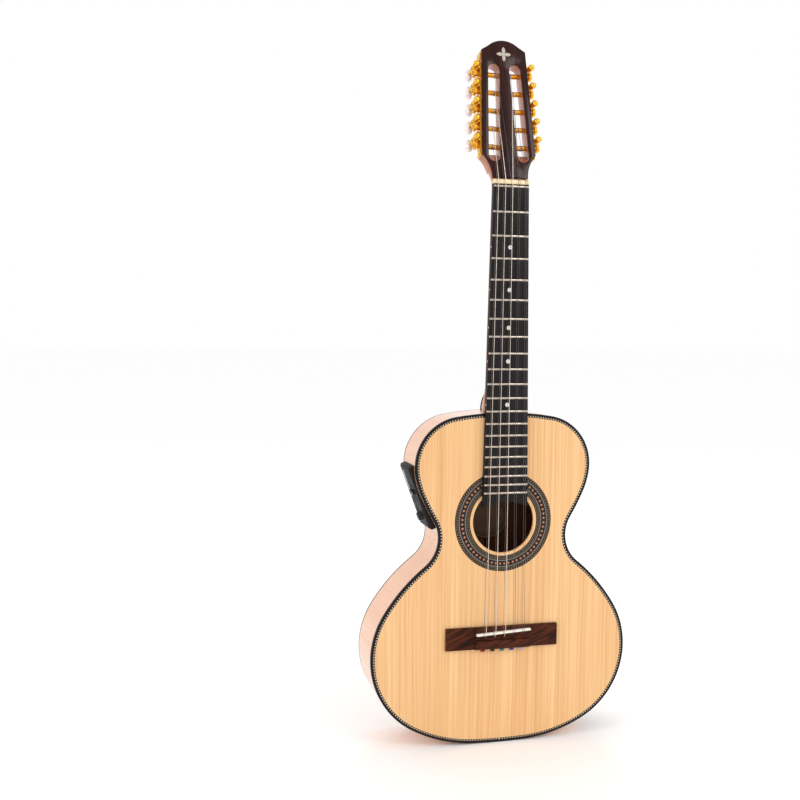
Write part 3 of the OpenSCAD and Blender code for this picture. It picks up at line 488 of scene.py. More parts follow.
JACK_STEEL = handled_finish("jack_nickel", (200, 200, 204), 0.2, 0.34, metallic=1.0)
CELL = handled_finish("battery_wrap", (60, 64, 70), 0.35, 0.5)
# The label's paper colour is painted dark as painted shade inside the body.
LABEL = handled_finish("label_paper_painted_shade", (104, 76, 54), 0.7, 0.8, tint=(92, 66, 46))
LABEL_LINE = handled_finish("label_line", (58, 36, 24), 0.7, 0.8)
BLACK_SCREW = handled_finish("black_screw", (16, 15, 16), 0.2, 0.35, metallic=0.6)
BALL_COLOURS = [handled_finish("ball_" + name, colour, 0.3, 0.4, coat=0.5) for name, colour in (
    ("red", (168, 20, 40)), ("black", (24, 22, 24)), ("green", (14, 120, 100)),
    ("blue", (52, 44, 150)), ("grey", (176, 186, 194)))]


# ---- stock that pieces are made from ----
class Stock:
    """Collects the faces of one piece in millimetres, each with the number of its finish."""

    def __init__(self, place=ROW):
        self.place = place
        self.points, self.faces, self.marks = [], [], []

    def add(self, points, faces, mark=0, place=IDENTITY):
        start = len(self.points)
        whole = self.place @ place
        self.points += [whole @ Vector(p) for p in points]
        self.faces += [tuple(start + i for i in face) for face in faces]
        self.marks += [mark] * len(faces)

    def loft(self, rings, mark=0, place=IDENTITY, closed=False, ends=True):
        """Joins rings of equally many points; closed joins the last ring to the first."""
        count = len(rings[0])
        points = [p for ring in rings for p in ring]
        faces = []
        for i in range(len(rings) if closed else len(rings) - 1):
            a, b = i * count, (i + 1) % len(rings) * count
            faces += [(a + j, a + (j + 1) % count, b + (j + 1) % count, b + j)
                      for j in range(count)]
        if ends and not closed:
            faces.append(tuple(range(count))[::-1])
            faces.append(tuple(len(points) - count + j for j in range(count)))
        self.add(points, faces, mark, place)

    def turned(self, profile, mark=0, place=IDENTITY, steps=32):
        """Turns a profile of (radius, along) about local Z."""
        rings = [[(r * cos(t), r * sin(t), z) for t in around(steps)] for r, z in profile]
        self.loft(rings, mark, place)

    def block(self, low, high, mark=0, place=IDENTITY):
        corners = [(x, y, z) for z in (low[2], high[2])
                   for x, y in ((low[0], low[1]), (high[0], low[1]), (high[0], high[1]),
                                (low[0], high[1]))]
        self.loft([corners[:4], corners[4:]], mark, place)

    def tube(self, path, radius, mark=0, place=IDENTITY, sides=10):
        """A round bar along a path; radius may be a list with one value a point."""
        path = [Vector(p) for p in path]
        radii = radius if hasattr(radius, "__len__") else [radius] * len(path)
        rings = []
        for i, point in enumerate(path):
            ahead = path[min(i + 1, len(path) - 1)] - path[max(i - 1, 0)]
            ahead.normalize()
            across = ahead.cross(Vector((1, 0, 0.013)))
            if across.length < 0.2:
                across = ahead.cross(Vector((0, 0, 1)))
            across.normalize()
            other = ahead.cross(across)
            rings.append([point + radii[i] * (cos(t) * across + sin(t) * other)
                          for t in around(sides)])
        self.loft(rings, mark, place)

    def plate(self, outline, low, high, holes=(), mark=0, place=IDENTITY):
        """A flat plate between two depths along local Y, with its outline in X and Z."""
        bm = bmesh.new()
        for loop in [outline, *holes]:
            corners = [bm.verts.new((x, low, z)) for x, z in loop]
            for i, corner in enumerate(corners):
                bm.edges.new((corner, corners[(i + 1) % len(corners)]))
        bmesh.ops.triangle_fill(bm, use_beauty=True, edges=bm.edges[:])
        face_set = bmesh.ops.extrude_face_region(bm, geom=bm.faces[:])
        moved = [v for v in face_set["geom"] if isinstance(v, bmesh.types.BMVert)]
        bmesh.ops.translate(bm, verts=moved, vec=(0, high - low, 0))
        bm.verts.index_update()
        self.add([v.co[:] for v in bm.verts], [[v.index for v in f.verts] for f in bm.faces],
                 mark, place)
        bm.free()

    def make(self, name, finishes, body="guitar", stands_for=(), ease=0.0,
             smooth=38, weld=True):
        """ease rounds the sharp edges by that many millimetres."""
        mesh = bpy.data.meshes.new(name)
        mesh.from_pydata(self.points, [], self.faces)
        for i, mark in enumerate(self.marks):
            mesh.polygons[i].material_index = mark
        bm = bmesh.new()
        bm.from_mesh(mesh)
        if weld:
            bmesh.ops.remove_doubles(bm, verts=bm.verts[:], dist=0.001 * MM)
            bmesh.ops.recalc_face_normals(bm, faces=bm.faces[:])
        if ease:
            sharp = [e for e in bm.edges
                     if len(e.link_faces) == 2 and e.calc_face_angle() > radians(32)]
            bmesh.ops.bevel(bm, geom=sharp, offset=ease * MM, segments=2, profile=0.6,
                            affect="EDGES", clamp_overlap=True)
        bm.to_mesh(mesh)
        bm.free()
        mesh.polygons.foreach_set("use_smooth", [True] * len(mesh.polygons))
        mesh.set_sharp_from_angle(angle=radians(smooth))
        piece = show(name, mesh)
        for finish in finishes:
            mesh.materials.append(finish)
        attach(piece, body)
        if stands_for:
            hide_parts(*stands_for)
        return piece


def arc(centre, radius, start, end, steps):
    """Points from one angle to another, in degrees."""
    return [(centre[0] + radius * cos(radians(start + (end - start) * i / steps)),
             centre[1] + radius * sin(radians(start + (end - start) * i / steps)))
            for i in range(steps + 1)]


def circle(centre, radius, steps=64):
    return arc(centre, radius, 0, 360 - 360 / steps, steps - 1)


def eased(name, node, finishes, ease, smooth=38, body="guitar", more=()):
    """A copy of a CAD node with its flat faces made whole and its edges rounded."""
    bm = bmesh.new()
    bm.from_mesh(NODES[node].data)
    bmesh.ops.remove_doubles(bm, verts=bm.verts[:], dist=0.04 * MM)
    bmesh.ops.dissolve_limit(bm, angle_limit=radians(0.6), verts=bm.verts[:], edges=bm.edges[:])
    stock = Stock(IDENTITY)
    bm.verts.index_update()
    stock.points = [v.co.copy() for v in bm.verts]
    stock.faces = [[v.index for v in f.verts] for f in bm.faces]
    stock.marks = [0] * len(stock.faces)
    bm.free()
    return stock.make(name, finishes, body, (node, *more), ease, smooth)


# ---- the outline of the body ----
def outline_points(offset, step=2.5):
    """The whole outline moved outwards, from the tail up the treble side and back down."""
    x, z, heading = 0.0, 0.0, 0.0
    half = []
    for radius, turn in zip(ARC_RADII, ARC_TURNS):
        side = 1 if turn > 0 else -1
        normal = Vector((sin(heading), -cos(heading)))
        centre = Vector((x, z)) - side * radius * normal
        steps = max(2, round(abs(radians(turn)) * radius / step))
        for i in range(steps):
            a = heading + radians(turn) * i / steps
            n = Vector((sin(a), -cos(a)))
            half.append(centre + (side * radius + offset) * n)
        heading += radians(turn)
        end = centre + side * radius * Vector((sin(heading), -cos(heading)))
        x, z = end
    half.append(Vector((0, z + offset)))
    half[0].x = 0
    return half + [Vector((-p.x, p.y)) for p in half[-2:0:-1]]


def make_ring(name, finish, sections, stands_for, step=2.5):
    """Sweeps a section of (offset outwards, depth at a height) round the body."""
    loops = [outline_points(offset, step) for offset, depth in sections]
    rings = [[(loop[i].x, depth(loop[i].y), loop[i].y)
              for loop, (offset, depth) in zip(loops, sections)] for i in range(len(loops[0]))]
    stock = Stock()
    stock.loft(rings, closed=True)
    return stock.make(name, [finish], stands_for=stands_for, smooth=30)


def make_bindings():
    section = ((-RIB_T, 0), (-0.9, 0), (-0.35, 0.12), (-0.1, 0.4), (0, 0.9), (0, BINDING_H),
               (-RIB_T, BINDING_H))

    def at(depth):
        return lambda z: depth

    def behind(depth):
        return lambda z: back_y(z) - depth / cos(BACK_TAPER)

    for name, node, place in (("front", "top_binding", at), ("back", "back_binding", behind)):
        make_ring("edge_binding_" + name, BINDING, [(x, place(depth)) for x, depth in section],
                  [node])


def make_rope():
    """Tiles of pale and dark wood between two dark lines."""
    edges = [-RIB_T, -RIB_T - 1.2, -RIB_T - 2.5, -RIB_T - PURFLING_W]
    loops = [outline_points(offset, 1.25) for offset in edges]
    count = len(loops[0])
    stock = Stock()
    for k in range(len(edges) - 1):
        for i in range(count):
            dark = k != 1 or i % 3
            j = (i + 1) % count
            corners = [(*loops[k][i], 0), (*loops[k + 1][i], 0), (*loops[k + 1][j], 0),
                       (*loops[k][j], 0)]
            top = [(x, 0, z) for x, z, _ in corners]
            low = [(x, INLAY_T, z) for x, z, _ in corners]
            faces = [(0, 1, 2, 3)]
            if k == 0:
                faces.append((0, 3, 7, 4))
            if k == len(edges) - 2:
                faces.append((1, 5, 6, 2))
            faces.append((4, 7, 6, 5))
            stock.add(top + low, faces, 1 if dark else 0)
    stock.make("edge_rope", [ROPE_PALE, ROPE_DARK],
               stands_for=["top_purfling"])


def make_rosette():
    """Rings of small tiles round the soundhole, each tile with its own finish."""
    black, grey, gold, orange = range(4)
    motifs = 60
    cross = {(-1, 0), (0, -1), (0, 0), (0, 1), (1, 0)}
    rows = []

    def dashes(outer, inner, shift):
        for n in range(5):
            r = [outer + (inner - outer) * t / 5 for t in (n, n + 1)]
            rows.append((*r, motifs * 6, lambda i, n=n, s=shift:
                         gold if n in (1, 3) and (i + n + s) % 3 == 0 else black))

    def plain(outer, inner, finish):
        rows.append((outer, inner, motifs * 2, lambda i: finish))

    dashes(ROSETTE_R, 61.5, 0)
    plain(61.5, 60.5, grey)
    plain(60.5, 59.7, black)
    for n in range(5):
        outer = 59.7 - n * 1.16
        rows.append((outer, outer - 1.16, motifs * 6, lambda i, n=n:
                     orange if (n - 2, i % 6 - 2) in cross else black))
    plain(53.9, 53.1, black)
    plain(53.1, 52.1, grey)
    dashes(52.1, ROSETTE_IN_R, 1)
    stock = Stock()
    for outer, inner, count, choose in rows:
        for i in range(count):
            a, b = 2 * pi * i / count, 2 * pi * (i + 1) / count
            corners = [(outer, a), (outer, b), (inner, b), (inner, a)]
            flat = [(r * cos(t), r * sin(t) + HOLE_Z) for r, t in corners]
            stock.add([(x, 0, z) for x, z in flat] + [(x, INLAY_T, z) for x, z in flat],
                      [(0, 1, 2, 3), (7, 6, 5, 4)], choose(i))
    for radius in (ROSETTE_R, ROSETTE_IN_R):
        ring = circle((0, HOLE_Z), radius, motifs * 6)
        count = len(ring)
        stock.add([(x, y, z) for y in (0, INLAY_T) for x, z in ring],
                  [(i, (i + 1) % count, count + (i + 1) % count, count + i)
                   for i in range(count)], black)
    stock.make("rosette_mosaic", [MOSAIC_BLACK, MOSAIC_GREY, MOSAIC_GOLD, MOSAIC_ORANGE],
               stands_for=["rosette"])


def make_label():
    """A plain blank label glued inside the back, seen through the soundhole. Its paper is
    painted dark brown: painted shade inside the body.
    """
    stock = Stock(ROW @ shift(0, TAIL_DEPTH - BACK_T - 0.4, 0) @ spin(BACK_TAPER, "X"))
    centre = (0, HOLE_Z - 5)
    stock.plate(circle(centre, 30, 72), -0.3, 0)
    stock.plate(circle(centre, 27, 72), -0.45, -0.3, [circle(centre, 25.6, 72)], 1)
    stock.plate(circle(centre, 24.4, 72), -0.45, -0.3, [circle(centre, 23.9, 72)], 1)
    stock.make("inside_label", [LABEL, LABEL_LINE])


# ---- strings and their fixings ----
def string_x(i, course_gap, pair_gap):
    return (i // 2 - 2) * course_gap + (-1 if i % 2 == 0 else 1) * pair_gap / 2


def string_r(i):
    return 0.42 if i in WOUND_STRINGS else 0.21


def saddle_line(x):
    return SADDLE_Z - 2.5 + x * math.tan(SADDLE_SLANT)


def string_side(i):
    return -1 if i < 5 else 1


def string_roller(i):
    return i + 1 if i < 5 else 10 - i


def head_point(x, y, z):
    """A point of the head frame, in millimetres from the soundboard's face."""
    c, s = cos(HEAD_TILT), sin(HEAD_TILT)
    return x, -3 + y * c + z * s, fret_z(0) + 10 - y * s + z * c


def roller_head_z(k):
    return HEAD_LOW[1] + roller_at(k) * cos(SPLAY)


def string_path(i):
    side, k, r = string_side(i), string_roller(i), string_r(i)
    xs, xn = string_x(i, 13.4, 2.8), string_x(i, 9.7, 2.3)
    zr, wind = roller_head_z(k), WIND_X[k - 1]
    rise = (wind - abs(xn)) / zr
    fall = (SLOT_LOW[0] - SLOT_HIGH[0]) / (SLOT_HIGH[1] - SLOT_LOW[1])
    inner = SLOT_LOW[0] + fall * SLOT_LOW[1] - SLOT_W / 2
    ze = max(SLOT_LOW[1] + 2, (inner - abs(xn)) / (rise + fall))
    xe = side * (abs(xn) + rise * ze)
    over = BOARD_T + FRET_H + 0.9
    return [(xs, -3.6, TIE_Z + 0.3), (xs, -3.6, SADDLE_Z - 13.0), (xs, -4.4, SADDLE_Z - 11.6),
            (xs, -SADDLE_H - r + 0.1, saddle_line(xs) - 1.2),
            (xs, -SADDLE_H - r - 0.1, saddle_line(xs) + 0.2),
            (xn, -over, NUT_Z + 0.5), (xn, -over + 0.2, NUT_Z + NUT_T - 0.3),
            head_point(xe, -0.9, ze),
            head_point(side * wind, ROLLER_Y - ROLLER_R - 0.5 - r, zr - 0.4)]


def make_strings():
    for wound, name, finish, node in ((True, "strings_thick", BRONZE, "strings_wound"),
                                      (False, "strings_thin", STEEL, "strings_plain")):
        stock = Stock()
        for i in range(10):
            if (i in WOUND_STRINGS) == wound:
                stock.tube(string_path(i), string_r(i))
        stock.make(name, [finish],
                   stands_for=[node], weld=False)
    stock = Stock()
    for i in range(10):
        place = shift(string_x(i, 13.4, 2.8), -3.6, TIE_Z - 1.9) \
            @ spin(pi / 2, "Y")
        stock.turned([(0.75, -1.25), (1.75, -1.25), (1.9, -1.1), (1.9, -0.7), (1.25, -0.35),
                      (1.25, 0.35), (1.9, 0.7), (1.9, 1.1), (1.75, 1.25), (0.75, 1.25)],
                     i // 2, place)
    stock.make("ball_end_beads", BALL_COLOURS, stands_for=["ball_ends"])


def make_bridge():
    eased("bridge_body", "bridge", [ROSEWOOD_BRIDGE], 0.5)
    stock = Stock(ROW @ shift(0, 0, saddle_line(0)) @ spin(-SADDLE_SLANT, "Y"))
    rings = []
    for x, shrink in ((-37.5, 0.5), (-37.1, 0.1), (-36.5, 0), (36.5, 0), (37.1, 0.1), (37.5, 0.5)):
        top = SADDLE_H - 1.5
        crown = [(-(top + (1.5 - shrink) * sin(t)), (1.5 - shrink) * cos(t))
                 for t in half_round(10)]
        rings.append([(x, -3.2, 1.5 - shrink)] + [(x, y, z) for y, z in crown]
                     + [(x, -3.2, -1.5 + shrink)])
    stock.loft(rings)
    stock.make("saddle_bone", [BONE], stands_for=["saddle"])


# ---- neck, board and head ----
def make_fingerboard():
    eased("fingerboard_slab", "fingerboard", [EBONY], 0.35)
    crown = [(-1.4, 0), (-1.32, 0.35), (-1.05, 0.72), (-0.6, 0.99), (0, 1.1)]
    section = crown + [(-z, h) for z, h in crown[-2::-1]]
    stock = Stock()
    for n in range(FRET_COUNT + 1):
        z, lift = fret_z(n), 0.1 if n == 0 else 0
        half = board_w(z) / 2 - 0.2
        rings = []
        for x, share in ((-half, 0.35), (-half + 0.25, 0.75), (-half + 0.8, 1), (half - 0.8, 1),
                         (half - 0.25, 0.75), (half, 0.35)):
            rings.append([(x, -BOARD_T - lift - h * share, z + dz) for dz, h in section])
        stock.loft(rings)
        stock.block((-half, -BOARD_T, z - 0.28), (half, -BOARD_T + 2, z + 0.28))
    stock.make("fret_wires", [FRET_WIRE], stands_for=["frets"], smooth=50)
    stock = Stock()
    for n in DOT_FRETS:
        z = (fret_z(n) + fret_z(n - 1)) / 2
        place = shift(0, -BOARD_T, z) @ spin(-pi / 2, "X")
        stock.turned([(0.01, 0), (2.8, 0), (2.9, 0.1), (2.9, 1.2), (0.01, 1.2)], 0, place, 40)
        place = shift(-board_w(z) / 2, -BOARD_T / 2, z) \
            @ spin(pi / 2, "Y")
        stock.turned([(0.01, 0), (1.05, 0), (1.1, 0.05), (1.1, 1.4), (0.01, 1.4)], 0, place, 24)
    stock.make("position_dots", [PEARL], stands_for=["inlays"])
    leaf = Stock(HEAD)
    for quarter in range(4):
        turn = shift(0, 0, 170) @ spin(pi / 2 * quarter, "Y")
        half_turn = math.degrees(math.acos(4 / 6.4))
        petal = arc((-4, 5), 6.4, -half_turn, half_turn, 12)[:-1] \
            + arc((4, 5), 6.4, 180 - half_turn, 180 + half_turn, 12)[:-1]
        leaf.plate(petal, -0.03 - 0.004 * quarter, 1.2, place=turn)
    leaf.make("head_leaf", [ABALONE])


def make_nut():
    over, half = BOARD_T + FRET_H + 0.9, board_w(NUT_Z) / 2 + 0.2
    rings = []
    for x, shrink in ((-half, 0.5), (-half + 0.5, 0), (half - 0.5, 0), (half, 0.5)):
        section = [(-over + 0.2 + shrink, 0.8), (-over + 0.2 + shrink, 3.2), (-over + 0.9, 5.2),
                   (-over + 2.2, 6 - shrink), (0, 6 - shrink), (0, shrink * 0.4),
                   (-over + 0.8 + shrink, shrink * 0.4)]
        rings.append([(x, y, NUT_Z + z) for y, z in section])
    stock = Stock()
    stock.loft(rings)
    stock.make("nut_bone", [NUT_BONE], stands_for=["nut"], ease=0.2)


def neck_section(z, y, tilt, width, depth, power, count=28):
    """Half an oval behind the board; a high power squares its corners."""
    turn = shift(0, y, z) @ spin(-tilt, "X")
    ring = []
    for a in half_round(count):
        c, s = cos(a), sin(a)
        ring.append(turn @ Vector((math.copysign(abs(c) ** (2 / power), c) * width / 2,
                                   abs(s) ** (2 / power) * depth, 0)))
    return ring


def heel_rings():
    """Half ovals lying across the body's depth, smoothed between five chosen ones."""
    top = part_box("back_strip")[1].z / MM + RIB_T
    foot = back_y(top) - 3.3
    steps = [(1, 59, 92), (9, 57.5, 72), (19, 49, 48), (32, 38, 35), (foot, 30, 28)]
    rings = []
    for i in range(33):
        y = 1 + (foot - 1) * i / 32
        j = max(n for n in range(4) if steps[n][0] <= y + 1e-6)
        share = (y - steps[j][0]) / (steps[j + 1][0] - steps[j][0])
        before, after = steps[max(j - 1, 0)], steps[min(j + 2, 4)]
        width, length = [0.5 * (2 * steps[j][n] + (steps[j + 1][n] - before[n]) * share
                   + (2 * before[n] - 5 * steps[j][n] + 4 * steps[j + 1][n] - after[n]) * share ** 2
                   + (3 * steps[j][n] - before[n] - 3 * steps[j + 1][n] + after[n]) * share ** 3)
            for n in (1, 2)]
        rings.append([(width / 2 * cos(a), y, top - 1 + length * sin(a)) for a in half_round(40)])
    return rings, top, foot


def make_neck():
    rings, top, foot = heel_rings()
    shaft = [neck_section(z, 0.01, 0, board_w(z), 18.5 + (15 - 18.5) * (z - 470) / 270, 2)
             for z in range(int(top) + 2, 726, 20)]
    shaft += [neck_section(*entry) for entry in (
        (730, 0.01, 0, board_w(730), 15, 2.05), (737, 0.01, 0.04, board_w(737), 15.2, 2.3),
        (743, 0.01, 0.11, 48.2, 15.8, 2.7), (747, 0.15, 0.17, 48.6, 16.1, 3.6),
        (751, 1.0, HEAD_TILT, 49.4, 16.3, 5.5), (755.7, 1.95, HEAD_TILT, 50.6, 16.3, 9),
        (761.6, 3.2, HEAD_TILT, 53.2, 16.2, 9))]
    stock = Stock()
    stock.loft(rings)
    stock.loft(shaft)
    neck = stock.make("neck_shaft", [CEDAR_NECK], stands_for=["neck"])
    for kind, settings in (("REMESH", {"mode": "VOXEL", "voxel_size": 1.1 * MM}),
                           ("SMOOTH", {"factor": 0.5, "iterations": 14})):
        change = neck.modifiers.new(kind.lower(), kind)
        for key, value in settings.items():
            setattr(change, key, value)
    bpy.context.view_layer.update()
    finished = bpy.data.meshes.new_from_object(
        neck.evaluated_get(bpy.context.evaluated_depsgraph_get()))
    finished.name = "neck_shaft"
    neck.modifiers.clear()
    neck.data = finished
    low = FACE_Y * MM
    for v in finished.vertices:
        v.co.y = max(v.co.y, low)
    if not finished.materials:
        finished.materials.append(CEDAR_NECK)
    finished.polygons.foreach_set("use_smooth", [True] * len(finished.polygons))
    cap = Stock()
    cap_outline = [(15.4 * cos(a), top - 1 + 28.4 * sin(a)) for a in half_round(48)]
    cap.plate(cap_outline, foot + 0.05, foot + 1.95)
    cap.make("heel_cap_plate", [BINDING], stands_for=["heel_cap"], ease=0.35)


def head_outline():
    """Half of it up the treble side from the nut, then the other half."""
    corner = HEAD_LOW
    a = math.degrees(math.acos((HEAD_NUT_X + NECK_ARC_R - corner[0]) / NECK_ARC_R))
    neck_side = [(HEAD_NUT_X + NECK_ARC_R - NECK_ARC_R * cos(radians(t)),
                  2 + NECK_ARC_R * sin(radians(t))) for t in [a * n / 14 for n in range(15)]]
    dome_c = HEAD_APEX - DOME_R
    start = math.degrees(math.asin((DOME[1] - dome_c) / DOME_R))
    dome = arc((0, dome_c), DOME_R, start, 90, 12)
    half = [(HEAD_NUT_X, 0)] + neck_side + [corner, HEAD_HIGH, DOME] + dome
    clean = [half[0]]
    for point in half[1:]:
        if math.dist(point, clean[-1]) > 0.3:
            clean.append(point)
    clean[-1] = (0, HEAD_APEX)
    return clean + [(-x, z) for x, z in clean[-2::-1]]


def slot_outline(side):
    r = SLOT_W / 2
    lean = math.atan((SLOT_LOW[0] - SLOT_HIGH[0]) / (SLOT_HIGH[1] - SLOT_LOW[1]))
    share = (SLOT_W / 2) / (SLOT_HIGH[1] - SLOT_LOW[1])
    x0 = SLOT_LOW[0] + (SLOT_HIGH[0] - SLOT_LOW[0]) * share
    z0 = SLOT_LOW[1] + SLOT_W / 2
    run = SLOT_HIGH[1] - SLOT_LOW[1] - SLOT_W
    points = arc((0, 0), r, 180, 360, 20) + arc((0, run), r, 0, 180, 20)
    c, s = cos(lean), sin(lean)
    return [(side * (x0 + x * c - z * s), z0 + x * s + z * c) for x, z in points]


def make_head():
    holes = [slot_outline(-1), slot_outline(1)]
    core = Stock(HEAD)
    glued = [point for point in head_outline() if point[1] > HEAD_GLUE + 1]
    foot = HEAD_NUT_X + NECK_ARC_R - math.sqrt(NECK_ARC_R ** 2 - (HEAD_GLUE - 2) ** 2)
    core.plate([(foot, HEAD_GLUE)] + glued + [(-foot, HEAD_GLUE)], VENEER_T, HEAD_T, holes)
    core.make("head_core", [CEDAR_NECK], stands_for=["head"], ease=0.6)
    ramp = Stock(HEAD)
    for side in (-1, 1):
        x = side * (SLOT_LOW[0] - 0.6)
        section = [(VENEER_T + 0.05, 21), (HEAD_T - 0.6, 21), (HEAD_T - 0.6, 38.4),
                   (VENEER_T + 0.05, 23.3)]
        ramp.loft([[(x + dx, y, z) for y, z in section] for dx in (-8.6, 8.6)])
    ramp.make("head_slot_ramps", [CEDAR_SLOT])
    face = Stock(HEAD)
    outline = [(x, max(z, 1.2)) for x, z in head_outline()]
    face.plate(outline, 0, VENEER_T, holes)
    face.make("head_face", [ROSEWOOD_FACE], stands_for=["head_veneer"],
              ease=0.45)
    cover = Stock(HEAD)
    bell = [(12.5, 2), (9.4, 14), (6.6, 26), (5, 39)] + arc((0, 39), 5, 0, 180, 16)[1:-1] \
        + [(-5, 39), (-6.6, 26), (-9.4, 14), (-12.5, 2)]
    cover.plate(bell, -1.6, 0)
    cover.make("truss_cover_plate", [COVER_WOOD],
               stands_for=["truss_rod_cover"], ease=0.3)


# ---- tuners ----
def slotted_screw(stock, place, radius, height, mark, slot_shade_mark):
    """A domed screw head standing on local XY, with a dark bar across it as painted shade for the
    slot.
    """
    profile = [(radius, 0), (radius, height * 0.35), (radius * 0.86, height * 0.75),
               (radius * 0.5, height), (0.01, height)]
    stock.turned([(0.01, 0)] + profile, mark, place, 24)
    # The slot is no recess: the bar's dark colour is painted shade for it.
    stock.block((-radius * 0.82, -radius * 0.14, height * 0.55),
                (radius * 0.82, radius * 0.14, height * 0.97), slot_shade_mark, place)


def make_tuner_plates():
    for side in (-1, 1):
        name = side_name(side)
        eased("tuner_side_plate_" + name, "tuner_plate_" + name, [GOLD], 0.22)
    stock = Stock()
    for side in (-1, 1):
        for k in range(6):
            z = 1.5 if k == 0 else roller_at(k) + ROLLER_GAP / 2 + 4 - (8 if k == 5 else 0)
            place = ROW.inverted() @ on_side(side) @ shift(1.2, ROLLER_Y, z) \
                @ spin(pi / 2, "Y") @ spin(0.7 * k, "Z")
            slotted_screw(stock, place, 2.15, 1.0, 0, 1)
    head_screw = ROW.inverted() @ HEAD @ shift(0, -1.6, 40.8) \
        @ spin(pi / 2, "X")
    slotted_screw(stock, head_screw, 1.85, 0.8, 2, 1)
    for a in (-32, -40.5):
        for y in (17, 65):
            slotted_screw(stock, on_corner(a, y, 3.0), 2.1, 0.8, 2, 1)
    stock.make("small_screws", [GOLD, SLOT_SHADE, BLACK_SCREW],
               stands_for=["screws"])


def make_worm(side, k):
    """The worm with its thread, the ball in front and the pearly button behind."""
    stock = Stock(on_side(side) @ shift(WORM_X, ROLLER_Y, roller_at(k) + WORM_RISE))
    along = spin(-pi / 2, "X")
    front = 5.8
    stock.turned([(0.01, -front - 1.6), (1.5, -front - 1.6), (1.5, front), (2.6, front),
                  (2.6, front + 1.9), (2.25, front + 2.4), (1.7, front + 3), (1.6, front + 6.6),
                  (1.95, front + 7.4), (2.0, 19.6), (1.5, 20.4), (0.01, 20.4)], 0, along, 32)
    stock.turned([(0.01, -4), (2.4, -4), (2.4, 4), (0.01, 4)], 0, along)
    turns, per_turn = 5, 20
    thread = []
    for i in range(turns * per_turn + 1):
        a = 2 * pi * i / per_turn
        z = -3.6 + 7.2 * i / (turns * per_turn)
        c, s = cos(a), sin(a)
        thread.append([(r * c, r * s, z + dz) for r, dz in
                       ((2.3, -0.55), (2.98, -0.18), (2.98, 0.18), (2.3, 0.55))])
    stock.loft(thread, 0, along)
    ball_r = 4.3
    ball = [(ball_r * sin(t), -ball_r * cos(t)) for t in half_round(20)]
    ball[0], ball[-1] = (0.01, -ball_r), (0.01, ball_r)
    stock.turned([(r, z - front - 3.9) for r, z in ball], 0, along, 40)
    stock.turned([(0.01, -front - 0.1), (2.7, -front - 0.1), (2.9, -front - 0.5),
                  (2.7, -front - 0.9), (0.01, -front - 0.9)], 0, along, 32)
    knob, knob_half, knob_r, fullness = [], 8.7, 5.2, 2.5
    for t in half_round(32):
        z = -knob_half * cos(t)
        r = knob_r * max(0.0, 1 - abs(z / knob_half) ** fullness) ** (1 / fullness)
        knob.append((max(r, 0.01), z))
    stock.turned(knob, 1, shift(0, 25, 0), 40)
    body = f"worm_{side_name(side)}_{k}"
    stock.make(f"tuner_button_{side_name(side)}_{k}", [GOLD, KNOB_PEARL], body,
               [body])


def make_roller(side, k):
    """The roller across the slot with its toothed gear, slotted cap and turns of string."""
    stock = Stock(on_side(side) @ shift(0, ROLLER_Y, roller_at(k)))
    along = spin(pi / 2, "Y")
    slot_c = HEAD_LOW[0] - sin(SPLAY) * roller_at(k) - WIND_X[k - 1]
    inner_end, outer_end, wire_r = -29.2, 4.6, 0.24
    profile = [(0.01, inner_end), (ROLLER_R - 0.2, inner_end), (ROLLER_R, inner_end + 0.2)]
    for z in (-slot_c - 5.6, -slot_c + 4.6):
        profile += [(ROLLER_R, z), (2.8, z + 0.3), (2.8, z + 0.8), (ROLLER_R, z + 1.1)]
    profile += [(ROLLER_R, outer_end), (0.01, outer_end)]
    stock.turned(profile, 0, along, 36)
    rim = []
    for tooth in range(GEAR_TEETH):
        for share, r in ((0.0, 5.0), (0.16, 5.0), (0.3, 5.8), (0.62, 5.8), (0.78, 5.0)):
            a = 2 * pi * (tooth + share) / GEAR_TEETH
            rim.append((r, a))
    rings = []
    for z, shrink in ((4.7, 0.5), (5.1, 0), (8.3, 0), (8.7, 0.5)):
        rings.append([((r - shrink) * cos(a), (r - shrink) * sin(a), z) for r, a in rim])
    stock.loft(rings, 1, along)
    cap = along @ shift(0, 0, 8.7)
    slotted_screw(stock, cap, 2.4, 1.2, 0, 2)
    turn_r = ROLLER_R + wire_r
    coil = [(turn_r * cos(a), turn_r * sin(a), -slot_c - 1.9 + 0.62 * a / (2 * pi))
            for a in [2 * pi * i / 18 for i in range(18 * 6)]]
    stock.tube(coil, wire_r, 3, along, 6)
    body = f"roller_{side_name(side)}_{k}"
    stock.make(f"string_roller_{side_name(side)}_{k}", [GOLD_GEAR, GOLD, SLOT_SHADE, BRONZE],
               body, [body])


# ---- preamp on the bass side, jack and battery on the treble side ----
# The centre of the outline's third arc, which jack and battery door sit on
CORNER_X, CORNER_Z = 66.899, 121.549
SLIDER_YS, SLIDER_Z = (20, 27, 34), 52
DIAL = shift(0, 27, 18)


def on_corner(angle, y, proud):
    """On the lower bout's corner: local Z outwards."""
    centre = Vector((CORNER_X, 0, CORNER_Z))
    turn = radians(angle)
    reach = ARC_RADII[2] + proud
    place = centre + Vector((cos(turn) * reach, y, sin(turn) * reach))
    return Matrix.Translation(place) @ spin(pi / 2 - turn, "Y")


PANEL_PLACE = ROW @ shift(-93.6, 0, 290) \
    @ spin(radians(-20.5), "Y") @ shift(-5, 0, 0)


